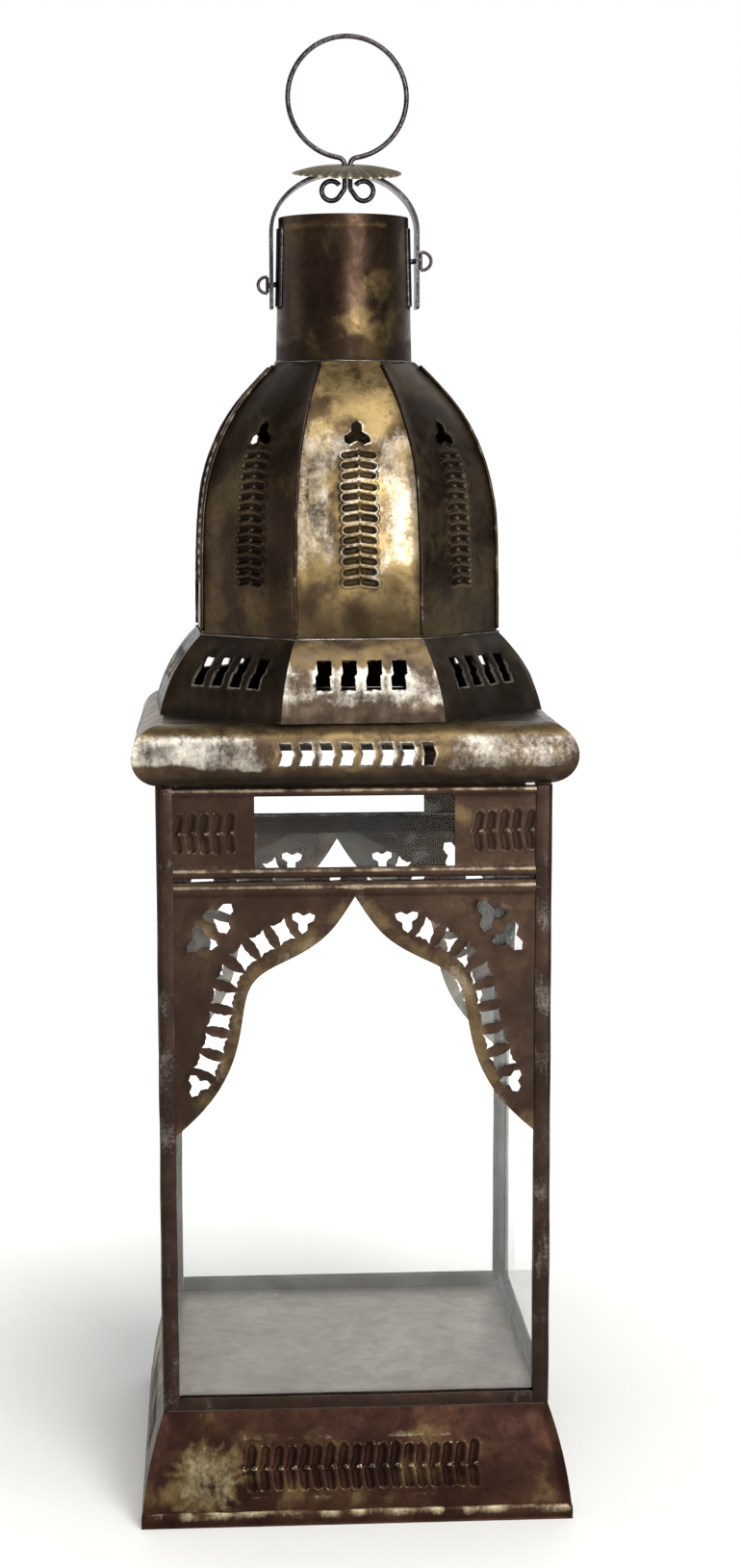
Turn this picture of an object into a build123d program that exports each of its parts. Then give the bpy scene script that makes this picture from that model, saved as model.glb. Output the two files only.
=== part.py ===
from build123d import *
from math import cos, radians, sin, tan
import os

# A Moroccan candle lantern in thin patinated sheet: square plinth, glazed square body with a
# hinged door at the front, half-round cornice, eight-sided skirt and dome, chimney, bail and
# hanging ring. Millimetres, +Z up, origin on the ground below the centre, front towards -Y.

# ---------------------------------------------------------------- driving dimensions
SHEET = 0.8                     # frame sheet
PLATE = 0.7                     # pierced plates
ROOF_SHEET = 0.9                # plinth, cornice, skirt, dome and chimney sheet
PLAY = 0.1                      # slack of a plate in its channel

PLINTH_HEIGHT = 46.3
PLINTH_FOOT = 89.1              # half width at the ground
PLINTH_NECK = 79.6              # half width under the body
PLINTH_BELLY = 86.0             # half width at half height, slightly bowed
HEM_HEIGHT = 6.5
HEM_DEPTH = 3.0

BODY_HALF = 80.0                # half width over the frame
STILE_WIDTH = 6.8
LEAF_DEPTH = 4.6                # depth of a framed side
BODY_TOP = 306.0
GLASS_THICKNESS = 2.0
RAIL_TOP = 52.0
LIP_REACH = 73.2                # how far the inner lips of a post reach along the side
POST_WEB = 0.3                  # half thickness of the web in the corner of a back post
POST_EDGE_RADIUS = 0.7
END_GAP = 0.2                   # between the end of a door or side pane and its frame
FIXED_PLATE_GAP = 0.8           # between the plates of two fixed sides
FIXED_GLASS_GAP = 0.4           # between the panes of two fixed sides

FLOOR_SHEET = 1.0
FLOOR_HALF = 78.5
FLOOR_FIELD_HALF = 73.9         # the floor is pressed up inside the frame
FLOOR_FIELD_RISE = 0.4

ARCH_TOP = 266.8
ARCH_BEAD = 5.6
FRIEZE_BOTTOM = 268.5
FRIEZE_BEAD = 4.0
WINDOW_HALF = 40.4
WINDOW_BOTTOM = 272.8
WINDOW_TOP = 301.7
FRIEZE_TOP = 305.4
BEAD_RISE = 0.85                # how far a rolled hem stands off its plate

# Half of the arch's edge: a pointed head, a round shoulder and a foot that flares to the stile.
ARCH_EDGE = [(0.0, 260.6), (12.0, 244.4), (28.5, 234.2), (41.2, 225.8), (45.6, 211.5), (48.9, 195.7),
             (57.0, 179.3), (78.0, 158.5)]
ARCH_FOOT = 150.0               # below the lowest point of the arch's edge
# The line that the stars and trefoils of one spandrel follow.
CHAIN_LINE = [(21.0, 250.8), (37.0, 242.2), (48.6, 232.6), (54.6, 213.5), (58.6, 196.2), (64.2, 183.6)]
CHAIN_COUNT = 10
STAR_SIZE = (6.4, 9.2)          # along the line and across it
TREFOIL_SIZE = 5.4
CORNER_TREFOIL_SIZE = 7.4
CORNER_TREFOILS = [(54.6, 252.6, 40), (62.6, 243.2, -15)]       # x, z and turn

HINGE_ROD_RADIUS = 1.0
HINGE_CLEARANCE = 0.08
BARREL_RADIUS = LEAF_DEPTH / 2
DOOR_GAP = 0.6                  # above and below the door
POST_GAP = 0.4                  # between the door and the front posts

CORNICE_RADIUS = 12.5
CORNICE_CENTRE = 76.8           # half width at the centre of the half round
CORNICE_FLANGE = 72.0           # how far in the lower flange reaches
CORNICE_SLOTS = 8
CORNICE_SLOT = (5.0, 9.8)
CORNICE_SLOT_Z = 319.4
CORNICE_SLOT_HALF_ROW = 31.0
CHEVRON_LEAN = 1.3
ROOF_Z = BODY_TOP + 2 * CORNICE_RADIUS
ROOF_HOLE_RADIUS = 55.0

ROOF_TURN = 2.5                 # degrees by which the dome sits askew on the body
SKIRT_TOP = 363.2
SKIRT_OUTLINE = [(80.0, ROOF_Z), (75.0, 345.9), (62.6, SKIRT_TOP)]
DOME_OUTLINE = [(61.8, SKIRT_TOP), (61.4, 395.0), (58.2, 428.0), (49.8, 450.0), (37.2, 467.0),
                (28.9, 475.5)]
SEAM_HEIGHT = 1.3
SEAM_HALF_WIDTH = 0.7
SKIRT_INSIDE = [(79.05, ROOF_Z), (74.25, 345.3), (61.2, SKIRT_TOP)]
SKIRT_SLOT = (7.0, 12.0, 4.6)   # width, height and waist
SKIRT_SLOTS = 4
SKIRT_SLOT_PITCH = 10.2
SKIRT_SLOT_Z = 349.6
DOME_HOLE_Z = 445.2
DOME_HOLE_SIZE = 6.6
CUT_START = 40.0                # inside the sheet, from the axis

CHIMNEY_BOTTOM = 475.5
CHIMNEY_TOP = 535.5
CHIMNEY_FOOT_RADIUS = 28.75
CHIMNEY_RIM_RADIUS = 27.4
CHIMNEY_HEIGHT = CHIMNEY_TOP - CHIMNEY_BOTTOM

LUG_BOTTOM = 499.0
LUG_TOP = 531.0
LUG_WIDTH = 20.0
LUG_GAP = 0.05
LUG_SHEET = 0.6

PIN_LEFT_Z = 508.0              # the bail's pins are not level
PIN_RIGHT_Z = 518.0
PIN_HALF_SPAN = 30.0
PIN_RADIUS = 1.1
PIN_CLEARANCE = 0.1
EYE_WIRE_RADIUS = 0.7
EYE_LEFT_RADIUS = 3.3
EYE_RIGHT_RADIUS = 3.7
EYE_GAP = 0.75                  # between a pin's eye and the strap
EYE_OPENING = 80.0              # degrees above level where an eye's arc starts
CLENCH_S = 25.6                 # where the ends of a pin are bent over inside the chimney
CLENCH_LENGTH = 9.0

BAIL_X = 0.3
BAIL_HALF = 30.4                # half span to the middle of the strap
BAIL_FOOT = 498.0
BAIL_SPRING = 530.0             # where the arch starts
BAIL_CROWN = 554.1
STRAP_THICKNESS = 1.0
STRAP_HALF_WIDTH = 6.2
STRAP_HEM = 1.4
STRAP_HEM_RISE = 0.6

RING_X = 1.8
RING_WIRE_RADIUS = 1.05
RING_RADIUS = 24.85             # to the middle of the wire
RING_TOP = 611.1
RING_SHANK_X = 1.15
RING_BEND_RADIUS = 3.2
RING_EYE_RADIUS = 4.05
RING_EYE_Z = 546.9
RING_EYE_X = 6.75
EYE_TURN = 290.0                # degrees of curl in each eye
SPLAY = 35.0                    # degrees by which the shanks part below the strap
SPLAY_RADIUS = 2.5
STRAP_HOLE_RADIUS = 2.6

CAP_Z = 554.5
CAP_TILT = 9.8
CAP_RADIUS = 23.2
CAP_RISE = 3.1
CAP_HOLE_RADIUS = 3.2
CAP_SHEET = 0.8
CAP_CURVE = (0.62, 0.7)         # the middle of its section, as shares of its radius and rise

TURNS = {"front": 0, "right": 90, "back": 180, "left": 270}
SQUARE_HALF = 45.0              # half the angle that a side of the square takes up
OCTAGON_HALF = 22.5             # the same for a side of the octagon
OCTAGON = [2 * OCTAGON_HALF * k for k in range(8)]

os.makedirs("parts", exist_ok=True)


# ---------------------------------------------------------------- helpers
def outward(turn):
    return (sin(radians(turn)), -cos(radians(turn)), 0)


def along(turn):
    return (cos(radians(turn)), sin(radians(turn)), 0)


def face_plane(turn, distance):
    """A plane facing outward on one side, x along the side and y up."""
    x, y, _ = outward(turn)
    return Plane(origin=(x * distance, y * distance, 0), x_dir=along(turn), z_dir=outward(turn))


def section_plane(turn, shift=0):
    """The upright plane across one side, x outward and y up, shifted along the side."""
    x, y, _ = along(turn)
    return Plane(origin=(x * shift, y * shift, 0), x_dir=outward(turn), z_dir=(-x, -y, 0))


def mitre(turn, half_angle):
    """Cut both ends of a run of section where it meets its neighbours."""
    x, y, _ = along(turn + half_angle)
    split(bisect_by=Plane(origin=(0, 0, 0), z_dir=(x, y, 0)), keep=Keep.BOTTOM)
    x, y, _ = along(turn - half_angle)
    split(bisect_by=Plane(origin=(0, 0, 0), z_dir=(-x, -y, 0)), keep=Keep.BOTTOM)


def patch(x0, y0, x1, y1, mode=Mode.ADD):
    """A rectangle between two corners, in the sketch that is open."""
    with Locations(((x0 + x1) / 2, (y0 + y1) / 2)):
        Rectangle(abs(x1 - x0), abs(y1 - y0), mode=mode)


def waisted_slot(width, height, waist):
    """An upright slot with its sides pinched in at half height."""
    w, h, m = width / 2, height / 2, waist / 2
    Polygon((-w, h), (w, h), (m, 0), (w, -h), (-w, -h), (-m, 0), align=None)


def chevron_slot(width, height, lean):
    """An upright slot whose two sides both point to the right."""
    w, h = width / 2, height / 2
    Polygon((-w, h), (w, h), (w + lean, 0), (w, -h), (-w, -h), (-w + lean, 0), align=None)


def trefoil(size, turn, mode=Mode.SUBTRACT):
    """Three pointed lobes round a small middle."""
    points = []
    for lobe in (90, 210, 330):
        for reach, spread in ((0.36, -60), (0.76, -19), (1.0, 0), (0.76, 19)):
            angle = radians(lobe + spread + turn)
            points.append((size * reach * cos(angle), size * reach * sin(angle)))
    Polygon(*points, align=None, mode=mode)


def square_star(width, height, turn):
    """A four-pointed star, nearly a square with its sides drawn in."""
    w, h = width / 2, height / 2
    corners = [(w, h), (0, 0.68 * h), (-w, h), (-0.62 * w, 0), (-w, -h), (0, -0.68 * h), (w, -h),
               (0.62 * w, 0)]
    Polygon(*corners, rotation=turn, align=None, mode=Mode.SUBTRACT)


def wire_section(x, z, heading, radius):
    """The round section at the start of a wire that lies in the front plane."""
    direction = (cos(radians(heading)), 0, sin(radians(heading)))
    with BuildSketch(Plane(origin=(x, 0, z), z_dir=direction)) as section:
        Circle(radius)
    return section.sketch


def save(builder, name):
    builder.part.label = name
    export_step(builder.part, f"parts/{name}.step")


# ---------------------------------------------------------------- plinth and floor
for side, turn in TURNS.items():
    with BuildPart() as plinth:
        with BuildSketch(section_plane(turn)):
            with BuildLine():
                belly = (PLINTH_BELLY, PLINTH_HEIGHT / 2)
                inner_belly = (PLINTH_BELLY - ROOF_SHEET, PLINTH_HEIGHT / 2)
                ThreePointArc((PLINTH_FOOT, 0), belly, (PLINTH_NECK, PLINTH_HEIGHT))
                Line((PLINTH_NECK, PLINTH_HEIGHT), (PLINTH_NECK - ROOF_SHEET, PLINTH_HEIGHT))
                ThreePointArc((PLINTH_NECK - ROOF_SHEET, PLINTH_HEIGHT), inner_belly,
                              (PLINTH_FOOT - ROOF_SHEET, 0))
                Line((PLINTH_FOOT - ROOF_SHEET, 0), (PLINTH_FOOT, 0))
            make_face()
            with Locations((PLINTH_FOOT - HEM_DEPTH / 2, HEM_HEIGHT / 2)):
                RectangleRounded(HEM_DEPTH, HEM_HEIGHT, HEM_DEPTH / 2 - 0.1)
        extrude(amount=PLINTH_FOOT, both=True)
        mitre(turn, SQUARE_HALF)
    save(plinth, f"plinth_{side}")

with BuildPart() as floor_plate:
    with BuildSketch(Plane.XY.offset(PLINTH_HEIGHT - FLOOR_SHEET)):
        Rectangle(2 * FLOOR_HALF, 2 * FLOOR_HALF)
    extrude(amount=FLOOR_SHEET)
    with BuildSketch(Plane.XY.offset(PLINTH_HEIGHT)):
        Rectangle(2 * FLOOR_FIELD_HALF, 2 * FLOOR_FIELD_HALF)
    extrude(amount=FLOOR_FIELD_RISE)
save(floor_plate, "floor_plate")

# ---------------------------------------------------------------- layers of a framed side
# Distances from the axis to each layer, from the face inwards.
OUTER_SKIN = BODY_HALF - SHEET
PLATE_FACE = OUTER_SKIN - PLAY
PLATE_BACK = PLATE_FACE - PLATE
GLASS_FACE = PLATE_BACK - 2 * PLAY
GLASS_BACK = GLASS_FACE - GLASS_THICKNESS
INNER_LIP_FACE = GLASS_BACK - 2 * PLAY
INNER_LIP_BACK = BODY_HALF - LEAF_DEPTH
OPENING_HALF = BODY_HALF - STILE_WIDTH
FRONT_POST_FACE = BODY_HALF - LEAF_DEPTH - POST_GAP

# ---------------------------------------------------------------- corner posts
for name, sx in (("left", -1), ("right", 1)):
    with BuildPart() as back_post:
        with BuildSketch(Plane.XY.offset(PLINTH_HEIGHT)):
            patch(sx * OPENING_HALF, OUTER_SKIN, sx * BODY_HALF, BODY_HALF)
            patch(sx * OUTER_SKIN, OPENING_HALF, sx * BODY_HALF, BODY_HALF)
            patch(sx * LIP_REACH, INNER_LIP_BACK, sx * INNER_LIP_FACE, INNER_LIP_FACE)
            patch(sx * INNER_LIP_BACK, LIP_REACH, sx * INNER_LIP_FACE, INNER_LIP_FACE)
            Polygon((sx * (INNER_LIP_BACK + POST_WEB), INNER_LIP_BACK),
                    (sx * BODY_HALF, BODY_HALF - POST_WEB), (sx * (BODY_HALF - POST_WEB), BODY_HALF),
                    (sx * INNER_LIP_BACK, INNER_LIP_BACK + POST_WEB), align=None)
        extrude(amount=BODY_TOP - PLINTH_HEIGHT)
        outside = (sx * 2 * BODY_HALF, 2 * BODY_HALF, (PLINTH_HEIGHT + BODY_TOP) / 2)
        corner = back_post.edges().filter_by(Axis.Z).sort_by_distance(outside)[0]
        fillet(corner, POST_EDGE_RADIUS)
    save(back_post, f"post_back_{name}")

    with BuildPart() as front_post:
        with BuildSketch(Plane.XY.offset(PLINTH_HEIGHT)):
            patch(sx * LIP_REACH, -FRONT_POST_FACE, sx * BODY_HALF, -FRONT_POST_FACE + SHEET)
            patch(sx * OUTER_SKIN, -FRONT_POST_FACE, sx * BODY_HALF, -OPENING_HALF)
            patch(sx * INNER_LIP_BACK, -FRONT_POST_FACE, sx * INNER_LIP_FACE, -LIP_REACH)
        extrude(amount=BODY_TOP - PLINTH_HEIGHT)
    save(front_post, f"post_front_{name}")

# ---------------------------------------------------------------- pierced plates and glass

def chain_places():
    """Centre and direction of each cut in the right-hand spandrel."""
    line = Spline(*CHAIN_LINE)
    places = []
    for k in range(CHAIN_COUNT):
        point = line.position_at(k / (CHAIN_COUNT - 1))
        direction = line.tangent_angle_at(k / (CHAIN_COUNT - 1))
        places.append((point.X, point.Y, direction))
    return places


CHAIN = chain_places()


def pierce_spandrel(side):
    """Cut one spandrel's stars and trefoils; side is 1 on the right and -1 on the left."""
    for k, (x, z, direction) in enumerate(CHAIN):
        with Locations((side * x, z)):
            if k == 0:
                trefoil(TREFOIL_SIZE, side * (direction + 90))
            elif k == CHAIN_COUNT - 1:
                trefoil(TREFOIL_SIZE, side * (direction - 90))
            else:
                square_star(STAR_SIZE[0], STAR_SIZE[1], side * direction)
    for x, z, lean in CORNER_TREFOILS:
        with Locations((side * x, z)):
            trefoil(CORNER_TREFOIL_SIZE, side * lean)


def rolled_bead(turn, bottom, top):
    """A rolled hem standing off a plate, between the stiles."""
    with BuildSketch(section_plane(turn)) as bead:
        with BuildLine():
            ThreePointArc((PLATE_FACE, bottom), (PLATE_FACE + BEAD_RISE, (bottom + top) / 2),
                          (PLATE_FACE, top))
            Line((PLATE_FACE, top), (PLATE_FACE, bottom))
        make_face()
    extrude(bead.sketch, amount=OPENING_HALF, both=True)


def arch_plate(turn, low, high):
    """The pierced plate with the arched opening; low and high are its ends along the side."""
    with BuildPart() as arch:
        with BuildSketch(face_plane(turn, PLATE_BACK)):
            patch(low, ARCH_EDGE[-1][1], high, ARCH_TOP)
            with BuildLine():
                Spline(*ARCH_EDGE)
                Line(ARCH_EDGE[-1], (ARCH_EDGE[-1][0], ARCH_FOOT))
                Line((ARCH_EDGE[-1][0], ARCH_FOOT), (-ARCH_EDGE[-1][0], ARCH_FOOT))
                Line((-ARCH_EDGE[-1][0], ARCH_FOOT), (-ARCH_EDGE[-1][0], ARCH_EDGE[-1][1]))
                Spline(*[(-x, z) for x, z in ARCH_EDGE])
            make_face(mode=Mode.SUBTRACT)
            pierce_spandrel(1)
            pierce_spandrel(-1)
        extrude(amount=PLATE)
        rolled_bead(turn, ARCH_TOP - ARCH_BEAD, ARCH_TOP)
    return arch


def frieze_plate(turn, low, high):
    """The plate with the long window above the arch."""
    with BuildPart() as frieze:
        with BuildSketch(face_plane(turn, PLATE_BACK)):
            patch(low, FRIEZE_BOTTOM, high, FRIEZE_TOP)
            patch(-WINDOW_HALF, WINDOW_BOTTOM, WINDOW_HALF, WINDOW_TOP, mode=Mode.SUBTRACT)
        extrude(amount=PLATE)
        rolled_bead(turn, FRIEZE_BOTTOM, WINDOW_BOTTOM - PLAY)
        rolled_bead(turn, WINDOW_TOP, FRIEZE_TOP)
    return frieze


def glass_pane(turn, low, high, bottom):
    with BuildPart() as pane:
        with BuildSketch(face_plane(turn, GLASS_BACK)):
            patch(low, bottom, high, FRIEZE_TOP - PLAY)
        extrude(amount=GLASS_THICKNESS)
    return pane


def bottom_rail(turn, bottom, lip_half):
    """The channel that the foot of the glass stands in."""
    with BuildPart() as rail:
        with BuildSketch(section_plane(turn)):
            patch(OUTER_SKIN, bottom, BODY_HALF, RAIL_TOP)
            patch(GLASS_BACK, bottom, BODY_HALF, bottom + SHEET)
        extrude(amount=OPENING_HALF, both=True)
        with BuildSketch(section_plane(turn)):
            patch(INNER_LIP_BACK, bottom, INNER_LIP_FACE, RAIL_TOP)
            patch(INNER_LIP_BACK, bottom, GLASS_BACK, bottom + SHEET)
        extrude(amount=lip_half, both=True)
    return rail


# ---------------------------------------------------------------- the three fixed sides
PLATE_END = PLATE_BACK - FIXED_PLATE_GAP
GLASS_END = INNER_LIP_BACK - FIXED_GLASS_GAP
FRONT_END = FRONT_POST_FACE - SHEET - END_GAP       # short of the front posts
FIXED_GLASS_BOTTOM = PLINTH_HEIGHT + SHEET + PLAY

for side, turn, low_is_front, high_is_front in (("right", 90, True, False), ("back", 180, False, False),
                                                ("left", 270, False, True)):
    plate_low = -FRONT_END if low_is_front else -PLATE_END
    plate_high = FRONT_END if high_is_front else PLATE_END
    glass_low = -FRONT_END if low_is_front else -GLASS_END
    glass_high = FRONT_END if high_is_front else GLASS_END
    save(arch_plate(turn, plate_low, plate_high), f"arch_{side}")
    save(frieze_plate(turn, plate_low, plate_high), f"frieze_{side}")
    save(glass_pane(turn, glass_low, glass_high, FIXED_GLASS_BOTTOM), f"glass_{side}")
    save(bottom_rail(turn, PLINTH_HEIGHT, LIP_REACH - PLAY), f"bottom_rail_{side}")

# ---------------------------------------------------------------- the door, hinged at its left edge
DOOR_BOTTOM = PLINTH_HEIGHT + DOOR_GAP
BARREL_X = BODY_HALF - BARREL_RADIUS
DOOR_PLATE_END = BARREL_X - BARREL_RADIUS           # against the inside of the rolled edge
DOOR_GLASS_END = DOOR_PLATE_END - END_GAP

for name, sx in (("door_hinge_stile", -1), ("door_free_stile", 1)):
    with BuildPart() as stile:
        with BuildSketch(Plane.XY.offset(DOOR_BOTTOM)):
            with Locations((sx * BARREL_X, -BARREL_X)):
                Circle(BARREL_RADIUS)
            patch(sx * OPENING_HALF, -BODY_HALF, sx * BARREL_X, -OUTER_SKIN)
            patch(sx * OPENING_HALF, -INNER_LIP_FACE, sx * BARREL_X, -INNER_LIP_BACK)
            with Locations((sx * BARREL_X, -BARREL_X)):
                Circle(HINGE_ROD_RADIUS + HINGE_CLEARANCE, mode=Mode.SUBTRACT)
        extrude(amount=FRIEZE_TOP - DOOR_BOTTOM)
    save(stile, name)

save(arch_plate(0, -DOOR_PLATE_END, DOOR_PLATE_END), "door_arch")
save(frieze_plate(0, -DOOR_PLATE_END, DOOR_PLATE_END), "door_frieze")
save(glass_pane(0, -DOOR_GLASS_END, DOOR_GLASS_END, DOOR_BOTTOM + SHEET + PLAY), "door_glass")
save(bottom_rail(0, DOOR_BOTTOM, OPENING_HALF), "door_bottom_rail")

with BuildPart() as hinge_rod:
    with BuildSketch(Plane.XY.offset(PLINTH_HEIGHT)):
        with Locations((-BARREL_X, -BARREL_X)):
            Circle(HINGE_ROD_RADIUS)
    extrude(amount=BODY_TOP - PLINTH_HEIGHT)
save(hinge_rod, "hinge_rod")

# ---------------------------------------------------------------- cornice and roof plate
for side, turn in TURNS.items():
    with BuildPart() as cornice:
        with BuildSketch(section_plane(turn)):
            middle = BODY_TOP + CORNICE_RADIUS
            inner_radius = CORNICE_RADIUS - ROOF_SHEET
            with BuildLine():
                ThreePointArc((CORNICE_CENTRE, BODY_TOP), (CORNICE_CENTRE + CORNICE_RADIUS, middle),
                              (CORNICE_CENTRE, ROOF_Z))
                Line((CORNICE_CENTRE, ROOF_Z), (CORNICE_CENTRE, ROOF_Z - ROOF_SHEET))
                ThreePointArc((CORNICE_CENTRE, ROOF_Z - ROOF_SHEET),
                              (CORNICE_CENTRE + inner_radius, middle),
                              (CORNICE_CENTRE, BODY_TOP + ROOF_SHEET))
                Line((CORNICE_CENTRE, BODY_TOP + ROOF_SHEET), (CORNICE_CENTRE, BODY_TOP))
            make_face()
            patch(CORNICE_FLANGE, BODY_TOP, CORNICE_CENTRE, BODY_TOP + ROOF_SHEET)
        extrude(amount=CORNICE_CENTRE + CORNICE_RADIUS, both=True)
        mitre(turn, SQUARE_HALF)
        pitch = (2 * CORNICE_SLOT_HALF_ROW - CORNICE_SLOT[0]) / (CORNICE_SLOTS - 1)
        with BuildSketch(face_plane(turn, BODY_HALF)):
            with Locations((0, CORNICE_SLOT_Z)):
                with GridLocations(pitch, 0, CORNICE_SLOTS, 1):
                    chevron_slot(CORNICE_SLOT[0], CORNICE_SLOT[1], CHEVRON_LEAN)
        extrude(amount=CORNICE_RADIUS, mode=Mode.SUBTRACT)
    save(cornice, f"cornice_{side}")

with BuildPart() as roof_plate:
    with BuildSketch(Plane.XY.offset(ROOF_Z - ROOF_SHEET)):
        Rectangle(2 * (CORNICE_CENTRE - PLAY), 2 * (CORNICE_CENTRE - PLAY))
        Circle(ROOF_HOLE_RADIUS, mode=Mode.SUBTRACT)
    extrude(amount=ROOF_SHEET)
save(roof_plate, "roof_plate")

# ---------------------------------------------------------------- skirt and dome

def inset(points, depth):
    """Points of an upright outline moved inwards; the two ends stay at their height."""
    moved = []
    for k, (r, z) in enumerate(points):
        before = points[max(k - 1, 0)]
        after = points[min(k + 1, len(points) - 1)]
        run = Vector(after[0] - before[0], after[1] - before[1]).normalized()
        if k in (0, len(points) - 1):
            moved.append((r - depth / run.Y, z))
        else:
            moved.append((r - depth * run.Y, z + depth * run.X))
    return moved


def curved_sheet(outer, inner):
    """The face between two curved outlines that start and end at the same heights."""
    with BuildLine() as outline:
        Spline(*outer)
        Line(outer[-1], inner[-1])
        Spline(*inner)
        Line(inner[0], outer[0])
    make_face(outline.edges())


for number, octant in enumerate(OCTAGON, start=1):
    turn = octant + ROOF_TURN
    with BuildPart() as skirt:
        with BuildSketch(section_plane(turn)):
            with BuildLine():
                ThreePointArc(*SKIRT_OUTLINE)
                Line(SKIRT_OUTLINE[-1], SKIRT_INSIDE[-1])
                ThreePointArc(*SKIRT_INSIDE)
                Line(SKIRT_INSIDE[0], SKIRT_OUTLINE[0])
            make_face()
        extrude(amount=SKIRT_OUTLINE[0][0] / 2, both=True)
        mitre(turn, OCTAGON_HALF)
        with BuildSketch(face_plane(turn, CUT_START)):
            with Locations((0, SKIRT_SLOT_Z)):
                with GridLocations(SKIRT_SLOT_PITCH, 0, SKIRT_SLOTS, 1):
                    waisted_slot(*SKIRT_SLOT)
        extrude(amount=CUT_START, mode=Mode.SUBTRACT)
    save(skirt, f"skirt_panel_{number}")

    with BuildPart() as gore:
        with BuildSketch(section_plane(turn)):
            curved_sheet(DOME_OUTLINE, inset(DOME_OUTLINE, ROOF_SHEET))
        extrude(amount=DOME_OUTLINE[0][0] / 2, both=True)
        mitre(turn, OCTAGON_HALF)
        with BuildSketch(face_plane(turn, CUT_START)):
            with Locations((0, DOME_HOLE_Z)):
                trefoil(DOME_HOLE_SIZE, 0, mode=Mode.ADD)
        extrude(amount=CUT_START, mode=Mode.SUBTRACT)
    save(gore, f"dome_gore_{number}")

with BuildPart() as dome_seams:
    ridge = [(r / cos(radians(OCTAGON_HALF)), z) for r, z in DOME_OUTLINE]
    for octant in OCTAGON:
        with BuildSketch(section_plane(octant + OCTAGON_HALF + ROOF_TURN)):
            curved_sheet(inset(ridge, -SEAM_HEIGHT), ridge)
        extrude(amount=SEAM_HALF_WIDTH, both=True)
save(dome_seams, "dome_seams")

# ---------------------------------------------------------------- chimney, lugs and pins
PIN_TILT = Vector(2 * PIN_HALF_SPAN, PIN_RIGHT_Z - PIN_LEFT_Z).get_angle(Vector(1, 0))
PIN_MIDDLE = (PIN_LEFT_Z + PIN_RIGHT_Z) / 2


def chimney_radius(z):
    drop = (z - CHIMNEY_BOTTOM) / CHIMNEY_HEIGHT
    return CHIMNEY_FOOT_RADIUS + drop * (CHIMNEY_RIM_RADIUS - CHIMNEY_FOOT_RADIUS)


def pin_axis(distance):
    """A place on the tilted line through both pins, its z along that line."""
    x = distance * cos(radians(PIN_TILT))
    z = PIN_MIDDLE + distance * sin(radians(PIN_TILT))
    return Location((x, 0, z), (0, 90 - PIN_TILT, 0))


with BuildPart() as chimney:
    with Locations((0, 0, (CHIMNEY_BOTTOM + CHIMNEY_TOP) / 2)):
        Cone(CHIMNEY_FOOT_RADIUS, CHIMNEY_RIM_RADIUS, CHIMNEY_HEIGHT)
        Cone(CHIMNEY_FOOT_RADIUS - ROOF_SHEET, CHIMNEY_RIM_RADIUS - ROOF_SHEET, CHIMNEY_HEIGHT,
             mode=Mode.SUBTRACT)
    with Locations(pin_axis(0)):
        Cylinder(PIN_RADIUS + PIN_CLEARANCE, 3 * PIN_HALF_SPAN, mode=Mode.SUBTRACT)
save(chimney, "chimney")

for name, side in (("left", -1), ("right", 1)):
    with BuildPart() as lug:
        lug_height = LUG_TOP - LUG_BOTTOM
        with Locations((0, 0, (LUG_BOTTOM + LUG_TOP) / 2)):
            Cone(chimney_radius(LUG_BOTTOM) + LUG_GAP + LUG_SHEET,
                 chimney_radius(LUG_TOP) + LUG_GAP + LUG_SHEET, lug_height)
            Cone(chimney_radius(LUG_BOTTOM) + LUG_GAP, chimney_radius(LUG_TOP) + LUG_GAP, lug_height,
                 mode=Mode.SUBTRACT)
        with Locations((side * PIN_HALF_SPAN, 0, (LUG_BOTTOM + LUG_TOP) / 2)):
            Box(PIN_HALF_SPAN, LUG_WIDTH, lug_height, mode=Mode.INTERSECT)
        with Locations(pin_axis(0)):
            Cylinder(PIN_RADIUS + PIN_CLEARANCE, 3 * PIN_HALF_SPAN, mode=Mode.SUBTRACT)
    save(lug, f"lug_{name}")

for name, side, eye_z, eye_radius in (("left", -1, PIN_LEFT_Z, EYE_LEFT_RADIUS),
                                      ("right", 1, PIN_RIGHT_Z, EYE_RIGHT_RADIUS)):
    chord_x = BAIL_HALF + side * BAIL_X + STRAP_THICKNESS / 2 + EYE_GAP + EYE_WIRE_RADIUS
    eye_x = side * (chord_x + eye_radius * cos(radians(EYE_OPENING)))
    start_angle = EYE_OPENING if side < 0 else EYE_OPENING - 180
    with BuildPart() as pin:
        with BuildLine(face_plane(0, 0)):
            CenterArc((eye_x, eye_z), eye_radius, start_angle, 360 - 2 * EYE_OPENING)
        start_x = eye_x + eye_radius * cos(radians(start_angle))
        start_z = eye_z + eye_radius * sin(radians(start_angle))
        sweep(wire_section(start_x, start_z, start_angle + 90, EYE_WIRE_RADIUS))
        with Locations((side * chord_x, 0, eye_z)):
            Cylinder(EYE_WIRE_RADIUS, 2 * eye_radius * sin(radians(EYE_OPENING)))
        outer_s = chord_x / cos(radians(PIN_TILT))
        with Locations(pin_axis(side * (outer_s + CLENCH_S) / 2)):
            Cylinder(PIN_RADIUS, outer_s - CLENCH_S)
        with Locations(pin_axis(side * CLENCH_S).position):
            Cylinder(PIN_RADIUS, CLENCH_LENGTH)
    save(pin, f"pin_{name}")


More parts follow.
